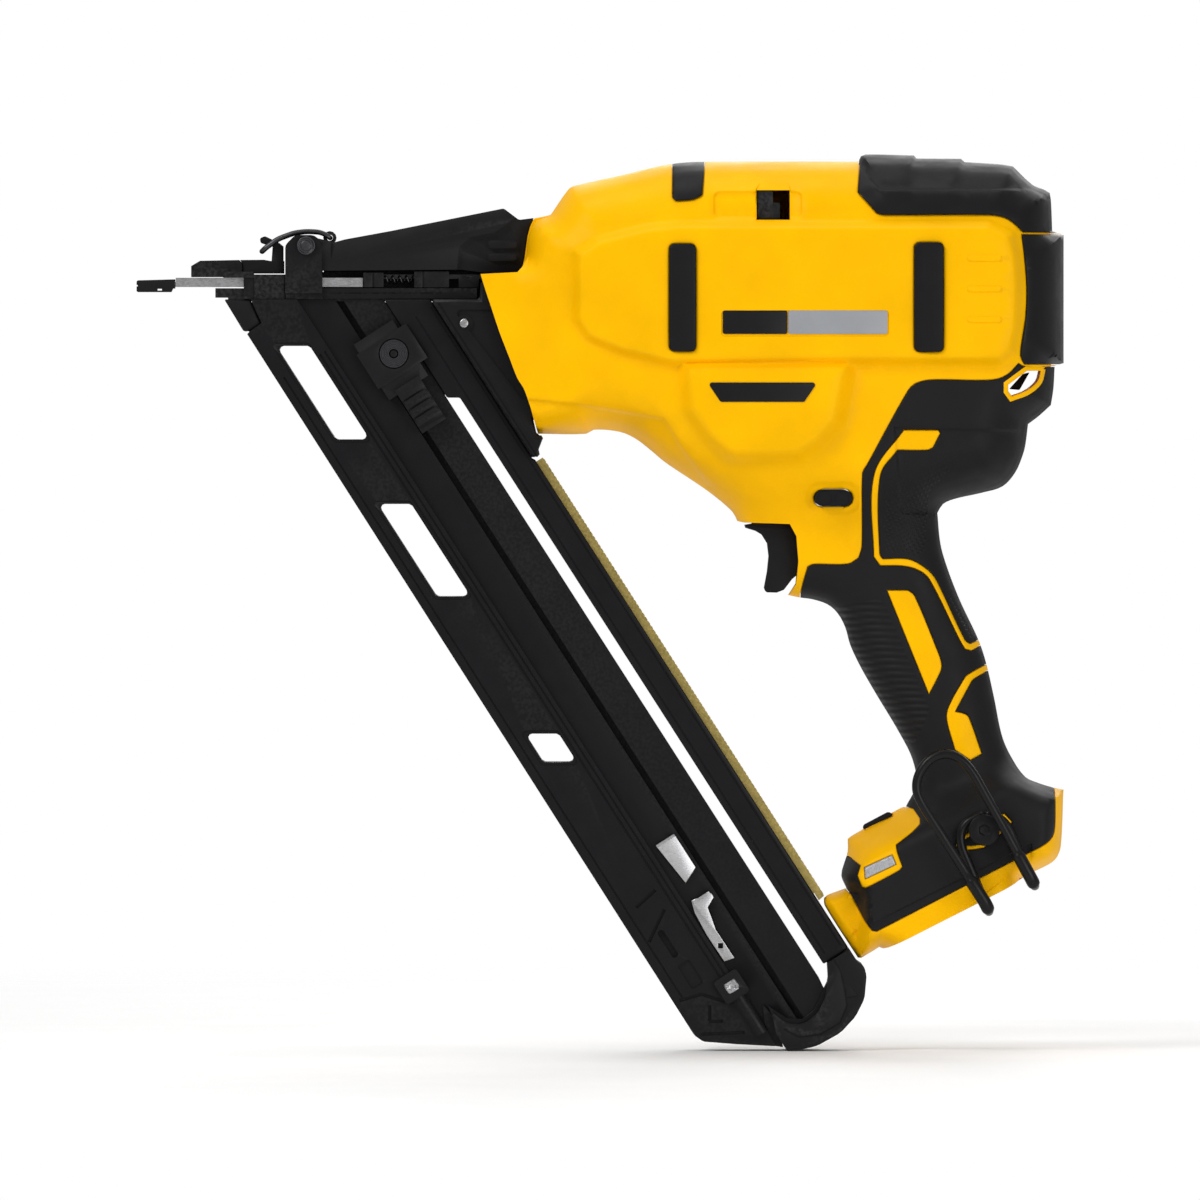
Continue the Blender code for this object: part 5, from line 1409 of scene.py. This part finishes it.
# ---------------------------------------------------------------- controls, foot, hook
TRIGGER = (243.5, -90)
trigger = side("trigger_fine", rounded([
    (239.3, -93.7), (242.2, -93.2), (240.9, -90, 2.4), (243, -87.3, 2.4), (250, -87.8),
    (261.5, -90.5, 2), (264, -96, 2), (264, -110, 2), (258, -115), (254.8, -119.2, 1.5),
    (252, -120.3), (247.6, -120.2, 1.2), (247, -118.5), (248.2, -112), (248.8, -106),
    (248.2, -101), (246, -97.5), (243.5, -96), (239.6, -94.8),
]), -8.5, 8.5, holes=[disc(*TRIGGER, 1.6)])
trigger = rounded_edges(trigger, 1.2, 3, 50)
stand_for(smooth_faces(trigger), "trigger")
reach = float(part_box("lock_button")[1][1]) / MM
lock = side("lock_button_fine", rect(266.65, -86.15, 281.35, -79.85, 3.1), -reach, reach)
dents = [rod("lock_dent", (x, hand * (reach + 3.4), -83), (x, hand * (reach - 0.5), -83), 3.0, 40)
         for x in (270.6, 277.4) for hand in (-1, 1)]
stand_for(dressed(cut(lock, *dents), 0.7, 3), "lock_button")
softened("mode_button", 0.2, 1)
softened("stall_lever", 0.3, 2)

FAR, NEAR = -46.5, -36.0  # y of the hook's outer part and of the part on the foot
hook_path = [
    (331.5, NEAR, -207.5), (326, NEAR, -210), (323.5, NEAR, -214.5), (324.2, NEAR, -220),
    (332, NEAR, -238.5), (334, NEAR - 1.2, -243.2), (334.8, NEAR - 4.5, -245),
    (334.4, FAR + 1.5, -244.2), (333, FAR, -241), (320.5, FAR, -221.5), (308.8, FAR, -203.2),
    (306.4, FAR, -198.3), (306.3, FAR, -193.5), (308.3, FAR, -188.5), (312, FAR, -184.6),
    (316.5, FAR, -182.8), (321, FAR, -183.4), (325, FAR, -186.2), (328.5, FAR, -190.6),
    (340.5, FAR, -212), (351, FAR, -231.5), (352.4, FAR + 1.5, -234.2), (352.8, NEAR - 4.5, -235),
    (352, NEAR - 1.2, -233.2), (350, NEAR, -229), (342.5, NEAR, -212), (339.5, NEAR, -208.6),
    (334.8, NEAR, -206.8),
]
hook = tube("belt_hook_fine", bent(hook_path, 1.0, 3.0), 1.85, 20)
sleeves = [tube("hook_sleeve", bent(points, 1.0, 3.0), 2.6, 20)
           for points in ([(328, FAR, -233.2), (333, FAR, -241), (334.2, FAR + 1.0, -243.4)],
                          [(346.5, FAR, -223.2), (351, FAR, -231.5), (352, FAR + 0.9, -233.4)])]
stand_for(smooth_faces(join(hook, *sleeves)), "belt_hook")
stand_for(dressed(copy_of("belt_hook_screw"), 0.5, 3), "belt_hook_screw",
          finish=FINISH["nose_black"])


def foot(e, n):
    """World (x, z) of a point e along the battery foot and n into it."""
    x, z = FOOT_EDGE[0]
    return x + FOOT_COS * e - FOOT_SIN * n, z + FOOT_SIN * e + FOOT_COS * n


softened("terminal_block", 0.4, 2)
for n, y in enumerate((-8, 0, 8)):
    outline = [foot(14, 8.9), foot(34, 8.9), foot(36, 10.2), foot(36, 12.7), foot(14, 12.7)]
    blade = side("terminal_blade_%d" % (n + 1), outline, y - 0.4, y + 0.4)
    add(dressed(blade, 0.15, 1), "steel")

for name in ("housing_screw_1", "housing_screw_2"):
    softened(name, 0.25, 2)
for n, (x, z) in enumerate(MORE_SCREWS, 3):
    near = arr([(x + HEAD * math.cos(a), z + HEAD * math.sin(a))
                for a in np.arange(0, 6.28, 0.4)])
    seat = max(float(skin_depth(near).max()) - HEAD_DEEP, HEAD_LEAST) + GAP
    head = rod("screw_head_%d" % n, (x, seat, z), (x, seat + SCREW_THICK, z), SCREW_HEAD, 32)
    head = cut(head, rod("drive", (x, seat + 1.1, z), (x, seat + 3, z), 1.3, 6))
    add(dressed(head, 0.3), "dark_steel")


def surface_at(x, z):
    """y of the housing's left surface."""
    return -float(skin_depth(np.array([[x, z]]))[0])


surface = surface_at(262.0, -14.5)
for name, x0, x1, slot, look in (("badge_dark", 230.5, 255.8, "moulding_black", None),
                                 ("badge_pale", 256.2, 295.0, "switch_grey", BADGE_GREY)):
    badge = side(name, rect(x0, -18.6, x1, -9.4, 0.8), surface - 0.45, surface + 1.0)
    add(dressed(badge, 0.2), slot, look)
surface = surface_at(246.0, -41.5)
plate = rounded([(224.5, -37.6, 1), (267.5, -37.6, 1), (262.4, -45.2, 1), (229.6, -45.2, 1)])
plate = side("side_plate", plate, surface - 0.4, surface + 1.5)
add(dressed(plate, 0.25), "moulding_black")
block = cut(box("rail_block", (126.7, -8, -0.35), (134.8, -3.2, 4.3)),
            box("block_line", (130, -9, 3.4), (131, -2, 5)))
add(dressed(block, 0.35), "nose_black")

# ---------------------------------------------------------------- internal pieces keep their shape
for name, node in nodes.items():
    node.data.materials.clear()
    node.data.materials.append(FINISH[SLOT_OF[name]])

# ---------------------------------------------------------------- stage, lights, camera
low, high = (Vector(c) for c in cad_box)
middle = (low + high) / 2
WHITE = (1, 1, 1, 1)
FLOOR_RADIUS = 1.05       # metres, as everything below
FLOOR_SOLID = 0.28        # the floor fades out from here to its edge
SKY, SKY_LIGHT = 1.0, 0.44    # as the camera sees it, and as it lights the tool


def floor_finish():
    n = Nodes("studio_floor")
    n.colour(n.mix(n.ramp(n.noise(60.0), 0.3, 0.7), (0.95, 0.95, 0.95), (0.98, 0.98, 0.98)))
    away = n.made("VectorMath")
    away.operation = "DISTANCE"
    n.link(n.place, away.inputs[0])
    away.inputs[1].default_value = (middle.x, 0, low.z)
    n.link(n.ramp(away.outputs["Value"], FLOOR_SOLID, FLOOR_RADIUS - 0.05, 1.0, 0.0),
           n.shader.inputs["Alpha"])
    n.set(Roughness=0.6)
    return n.mat


def studio_floor():
    """A round pale floor under the tool."""
    ground = low.z - 0.0002
    turns = [2 * math.pi * k / 96 for k in range(96)]
    verts = [(middle.x + FLOOR_RADIUS * math.cos(a), FLOOR_RADIUS * math.sin(a), ground)
             for a in turns]
    disc_floor = thing("studio_floor", mesh_of("studio_floor", verts, [list(range(len(turns)))]))
    disc_floor.data.materials.append(floor_finish())


def aim(obj, place, target):
    """Put a lamp or the camera at a place, turned to its target."""
    obj.location = place
    obj.rotation_euler = (target - Vector(place)).to_track_quat("-Z", "Y").to_euler()


def lamp(name, place, size, power):
    data = bpy.data.lights.new(name, "AREA")
    data.shape = "RECTANGLE"
    data.size, data.size_y = size
    data.energy = power
    aim(thing(name, data), place, middle)


studio_floor()
lamp("key", (-0.9, -1.2, 1.1), (0.8, 0.8), 18)
lamp("fill", (1.1, -1.3, -0.1), (0.9, 1.0), 8.5)
lamp("top", (0.2, 0.1, 1.5), (1.2, 0.7), 8)
lamp("rim", (0.6, 1.4, 0.7), (1.2, 1.0), 9)
world = bpy.data.worlds.new("studio")
bpy.context.scene.world = world
world.use_nodes = True
sky = world.node_tree
light = sky.nodes["Background"]
seen = sky.nodes.new("ShaderNodeBackground")
for node, strength in ((light, SKY_LIGHT), (seen, SKY)):
    node.inputs["Color"].default_value = WHITE
    node.inputs["Strength"].default_value = strength
choose = sky.nodes.new("ShaderNodeMixShader")
path = sky.nodes.new("ShaderNodeLightPath")
sky.links.new(path.outputs["Is Camera Ray"], choose.inputs[0])
sky.links.new(light.outputs["Background"], choose.inputs[1])
sky.links.new(seen.outputs["Background"], choose.inputs[2])
sky.links.new(choose.outputs["Shader"], sky.nodes["World Output"].inputs["Surface"])

VIEW_WIDTH = 0.4728       # what the frame takes in, left to right
CENTRE = Vector((0.1824, 0.0, -0.1233))
TILT = math.radians(0.7)
AWAY = 7.0                # far off, as with a long lens
SENSOR = 36.0             # mm
data = bpy.data.cameras.new("camera")
data.sensor_width = SENSOR
data.lens = SENSOR * AWAY / VIEW_WIDTH
data.clip_end = 40.0
camera = thing("camera", data)
aim(camera, CENTRE + AWAY * Vector((0, -math.cos(TILT), math.sin(TILT))), CENTRE)
bpy.context.scene.camera = camera
bpy.context.scene.view_settings.view_transform = "Standard"
